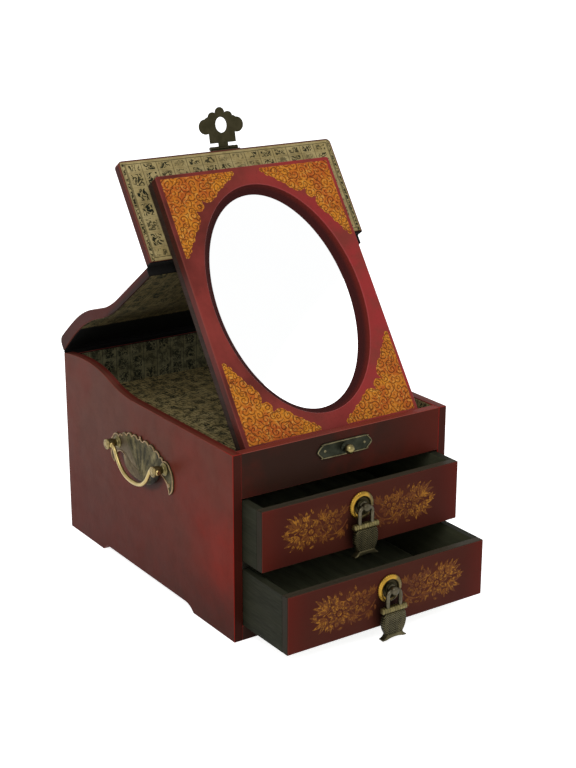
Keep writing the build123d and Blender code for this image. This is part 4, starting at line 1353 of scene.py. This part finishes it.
class VANITY_OT_pulls(bpy.types.Operator):
    """Basket-shaped drop pulls on gilt rosettes"""
    bl_idname = "vanity.pulls"
    bl_label = "Drawer pulls"

    def shackle(self, swing):
        """A stirrup of wire with rounded shoulders."""
        half, foot, bend = 5.8, -13.2, 3.4
        right = [(half, foot)] + [(half - bend + bend * math.cos(a), bend * math.sin(a) - bend)
                                  for a in (math.pi / 2 * step / 8 for step in range(9))]
        line = [*[(-x, y) for x, y in right], *reversed(right)]
        return wire([(x, y, 0) for x, y in line], 1.75, swing)

    def ribbed_bar(self, upright):
        """The bar across the basket's mouth, ribbed round and thinner at its ends."""
        half, steps, loops = 11.6, 60, []
        for step in range(steps + 1):
            across = -half + 2 * half * step / steps
            swell = 0.84 + 0.16 * abs(math.sin(math.pi * step / 6)) ** 0.6
            swell *= min(1.0, 0.72 + (half - abs(across)) * 0.5)
            loops.append([(across, 3.0 * swell * math.cos(a) * (1 - 0.14 * math.cos(2 * a) ** 2),
                           -14.4 + 2.35 * swell * math.sin(a) * (1 + 0.1 * math.sin(2 * a) ** 2))
                          for a in full_turn(20)])
        return rings(loops, upright)

    def basket(self, swing):
        right = [*arc((9.2, -16.6), (11.0, -25.2), (7.5, -34.2), 10), (7.3, -35.0)]
        return cut_sheet([mirrored(right)], 4.8, 1.3, shifted(swing, z=-2.4))

    def foot(self, swing):
        flare = [*arc((7.3, -33.8), (8.2, -35.6), (11.4, -37.3), 6), (11.3, -38.2),
                 *arc((7.8, -38.1), (0, -36.9), (-7.8, -38.1), 10), (-7.8, -38.1), (-11.3, -38.2),
                 *arc((-11.4, -37.3), (-8.2, -35.6), (-7.3, -33.8), 6), (-7.3, -33.8)]
        return cut_sheet([flare], 5.6, 0.7, shifted(swing, z=-2.8))

    def execute(self, context):
        metal_set = box_settings().metal
        steel = metal("grey_steel", metal_set.steel, rough=0.26)
        ribbed = metal("cast_brass", metal_set.brass, rough=0.4, spread=0.44)
        dark = metal("boss_brass", metal_set.patina, chip(22, 20, 13), 0.5)
        duller = metal("foot_brass", metal_set.dark_brass, rough=0.4)
        for drawer, (x, face, _, level, body) in DRAWERS.items():
            local, swing = facing(x, face, level), facing(x, face - PULL_OUT, level)
            upright = shifted(Matrix(), x, face - PULL_OUT, level)
            gilt = rosette_gilt(f"{drawer}_gilt", x * MM, level * MM)
            chased = basket_brass(f"{drawer}_chased_basket", x * MM, level * MM)
            for piece, mesh, holder, finish, replaces, smooth in (
                    ("gilt_ring", turned(ROSETTE, local, 192, 40, 0.02), drawer, gilt,
                     (f"{drawer}_rosette",), 35),
                    ("rosette_boss", turned(BOSS, local, 48), drawer, dark, (), 35),
                    ("turned_eye", turned(EYE, local, 36), drawer, steel, (f"{drawer}_eye",), 35),
                    ("shackle", self.shackle(swing), body, steel, (), 35),
                    ("ribbed_bar", self.ribbed_bar(upright), body, ribbed, (), 50),
                    ("basket", self.basket(swing), body, chased, (f"{drawer}_pendant",), 35),
                    ("foot", self.foot(swing), body, duller, (), 35)):
                show(f"{drawer}_{piece}", mesh, holder, finish, replaces, smooth)
        return {"FINISHED"}


class VANITY_OT_catch(bpy.types.Operator):
    """The hasp on the lid, and the plate and knob that it drops over"""
    bl_idname = "vanity.catch"
    bl_label = "Hasp and catch"

    def lobed_outline(self):
        """The hasp's edge seen from its middle: five lobes over a waisted neck."""
        neck_end, waist = 14.2, 11.4
        discs = [(0, 0, 9.6)]
        for x, y, radius in ((0, 9.8, 4.3), (7.1, 6.2, 4.3), (11.0, 2.6, 4.4), (14.6, -0.6, 6.1)):
            discs += [(x, y, radius), (-x, y, radius)]
        outline = []
        for turn in full_turn(240, 0.5):
            c, s = math.cos(turn), math.sin(turn)
            reach = 0.0
            for x, y, radius in discs:
                across = radius ** 2 - (x * s - y * c) ** 2
                if across > 0:
                    reach = max(reach, x * c + y * s + math.sqrt(across))
            if s < 0:
                half = waist + 0.9 * math.sin(min(1.0, reach / 14) * math.pi)
                low, side = neck_end / -s, half / max(abs(c), 0.01)
                if abs(low * c) < half:
                    reach = max(reach, low)
                elif side * -s < neck_end:
                    reach = max(reach, side)
            outline.append((reach * c, reach * s))
        return outline

    def hasp(self, bronze):
        """The lobed plate, turned up on its knuckle, with its oval hole as the middle."""
        pivot, middle = Vector(JOINT["hasp_hinge"]["pos_m"]), Vector((0, 0.03705, 0.35807))
        up = (middle - pivot).normalized()
        local = standing(middle, up, Vector((1, 0, 0)).cross(up))
        hole = [(5.3 * math.cos(a), 6.2 * math.sin(a)) for a in full_turn(48)]
        tongue = [(-4.4, -18.4), (4.4, -18.4), (4.4, -13.6), (-4.4, -13.6)]
        meshes = [cut_sheet([self.lobed_outline(), hole], 1.2, 0.3, shifted(local, z=-0.6)),
                  cut_sheet([tongue], 1.1, 0.15, shifted(local, z=-0.55)),
                  turned(KNUCKLE, Matrix.Translation(pivot) @ quarter("Y"), 24)]
        show("hasp_flower", meshes, BODY_OF["hasp_plate"], bronze, ("hasp_plate",))

    def execute(self, context):
        metal_set = box_settings().metal
        bronze = metal("hasp_bronze", metal_set.bronze, rough=0.45)
        brass = metal("catch_brass", chip(48, 50, 40), chip(26, 28, 21), 0.42)
        edge = metal("catch_edge_brass", chip(120, 112, 84), rough=0.4)
        knob = metal("knob_brass", metal_set.brass, rough=0.28, spread=0.56)
        self.hasp(bronze)
        refinish(bronze, "hasp_leaf")
        low, high = (Vector(corner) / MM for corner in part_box("front_plate"))
        local = facing(0, high.y, (low.z + high.z) / 2)
        upper = mirrored([(26, 0), (24.6, 2.3), (21.4, 5.5), (19.4, 6.3)])[:-1]
        outline = upper + [(-x, -y) for x, y in upper]
        rim = smooth_path([(x * 0.965, y * 0.87, 1.0) for x, y in [*outline, outline[0]]], 3)[:-1]
        pins = [nail_head(1.2, 0.5, shifted(local, x, z=0.9)) for x in (-18.5, 18.5)]
        radius, centre = 3.9, 7.0
        ball = [(radius * math.cos(a), centre + radius * math.sin(a))
                for a in map(math.radians, range(-50, 90, 10))]
        ball = turned([(AXIS, 3.6), *ball, (AXIS, centre + radius)], local, 48)
        for name, mesh, finish, replaces in (
                ("catch_plate", cut_sheet([outline], 0.95, 0.25, local), brass, ("front_plate",)),
                ("catch_plate_rim", [wire(rim, 0.55, local, 3, True), *pins], edge, ()),
                # the neck takes the plate's dark brass as painted shade under the ball
                ("catch_neck", turned(CATCH_NECK, local), brass, ()),
                ("catch_ball", ball, knob, ("catch_knob",))):
            show(name, mesh, "case", finish, replaces)
        return {"FINISHED"}


class VANITY_OT_hinges(bpy.types.Operator):
    """Finish and screws of the hinges"""
    bl_idname = "vanity.hinges"
    bl_label = "Hinges"

    def execute(self, context):
        bronze = metal("hinge_bronze", box_settings().metal.bronze, rough=0.42, spread=0.48)
        refinish(bronze, "rear_hinge_case_leaves", "rear_hinge_lid_leaves",
                 "mid_hinge_rear_leaves", "mid_hinge_front_leaves")
        leaf_face, level = 134.8, 152.8
        heads = [nail_head(1.5, 0.7, facing(x, leaf_face, level, 2))
                 for x in (-58, -50, -42, 42, 50, 58)]
        show("rear_hinge_screws", heads, "case", bronze, ())
        return {"FINISHED"}


# ------------------------------------------------------------------ the stage
class VANITY_OT_stage(bpy.types.Operator):
    """Floor, even daylight, a window on the left and the camera"""
    bl_idname = "vanity.stage"
    bl_label = "Stage"

    def put(self, name, data, place, aim, roll=0.0):
        """Stand a lamp or the camera at a place, aimed at a point."""
        place, aim = Vector(place), Vector(aim)
        holder = bpy.data.objects.new(name, data)
        holder.matrix_world = (
            Matrix.Translation(place) @ (aim - place).to_track_quat("-Z", "Y").to_matrix().to_4x4()
            @ Matrix.Rotation(-roll, 4, "Z"))
        bpy.context.scene.collection.objects.link(holder)
        return holder

    def lamp(self, name, power, size, place, aim):
        light = bpy.data.lights.new(name, "AREA")
        light.energy = power
        light.shape = "DISK"
        light.size = size
        self.put(name, light, place, aim)

    def daylight(self, scene, strength):
        """White all round: at full strength where it is seen, softer where it lights."""
        scene.world = bpy.data.worlds.new("daylight")
        scene.world.use_nodes = True
        links, nodes = scene.world.node_tree.links, scene.world.node_tree.nodes
        path, seen, level = (nodes.new("ShaderNode" + kind)
                             for kind in ("LightPath", "Math", "MapRange"))
        seen.operation = "MAXIMUM"
        links.new(path.outputs["Is Camera Ray"], seen.inputs[0])
        links.new(path.outputs["Is Glossy Ray"], seen.inputs[1])
        links.new(seen.outputs[0], level.inputs[0])
        level.inputs[3].default_value = strength
        level.inputs[4].default_value = 1.0
        nodes["Background"].inputs[0].default_value = (1, 1, 1, 1)
        links.new(level.outputs[0], nodes["Background"].inputs[1])

    def floor(self, scene, stage):
        half = 6000
        mesh = mesh_of([(x * half, y * half, 0) for x, y in ((-1, -1), (1, -1), (1, 1), (-1, 1))],
                       [(0, 1, 2, 3)])
        floor = bpy.data.objects.new("floor", mesh)
        scene.collection.objects.link(floor)
        paint = Paint("floor_card", Roughness=0.9, Emission_Strength=stage.floor_lift)
        pale = paint.mix(paint.noise(0.4, 2) * 0.3, stage.floor, chip(246, 246, 246))
        camera_ray, glossy_ray = (paint.node("LightPath", output=ray) for ray in (0, 3))
        glow = paint.mix(camera_ray.most(glossy_ray), (0, 0, 0, 1), pale)
        floor.data.materials.append(paint.finish(Base_Color=pale, Emission_Color=glow))

    def execute(self, context):
        scene, stage = context.scene, box_settings().stage
        camera = bpy.data.cameras.new("camera")
        camera.lens = stage.lens
        scene.camera = self.put("camera", camera, stage.place, stage.aim, stage.roll)
        self.lamp("window", stage.window, 1.1, (-0.9, -1.0, 1.5), (0, 0, 0.15))
        self.lamp("fill", stage.fill, 1.2, (1.3, -1.2, 0.9), (0, 0, 0.12))
        self.daylight(scene, stage.daylight)
        self.floor(scene, stage)
        scene.view_settings.view_transform = "Standard"
        return {"FINISHED"}


# ------------------------------------------------------------------ add-on
PIECES = (VANITY_OT_case, VANITY_OT_linings, VANITY_OT_lid, VANITY_OT_tapes, VANITY_OT_mirror,
          VANITY_OT_drawers, VANITY_OT_gilding, VANITY_OT_handles, VANITY_OT_pulls,
          VANITY_OT_catch, VANITY_OT_hinges, VANITY_OT_stage)


class VANITY_PT_box(bpy.types.Panel):
    """Lists the box's pieces and their settings"""
    bl_idname = "VANITY_PT_box"
    bl_label = "Vanity Box"
    bl_space_type = "VIEW_3D"
    bl_region_type = "UI"
    bl_category = "Vanity Box"

    def draw(self, context):
        for piece in PIECES:
            self.layout.operator(piece.bl_idname)
        for name in VANITY_PG_box.__annotations__:
            group = getattr(box_settings(), name)
            if not isinstance(group, bpy.types.PropertyGroup):
                self.layout.prop(box_settings(), name)
                continue
            holder = self.layout.box()
            for key in group.__annotations__:
                holder.prop(group, key)


CLASSES = (VANITY_PG_lacquer, VANITY_PG_gilding, VANITY_PG_paper, VANITY_PG_metal,
           VANITY_PG_stage, VANITY_PG_box, *PIECES, VANITY_PT_box)


def register():
    for cls in CLASSES:
        bpy.utils.register_class(cls)
    bpy.types.Scene.vanity_box = PointerProperty(type=VANITY_PG_box)


def unregister():
    del bpy.types.Scene.vanity_box
    for cls in reversed(CLASSES):
        bpy.utils.unregister_class(cls)


def main():
    register()
    for piece in PIECES:
        group, call = piece.bl_idname.split(".")
        getattr(getattr(bpy.ops, group), call)()


if __name__ == "__main__":
    main()
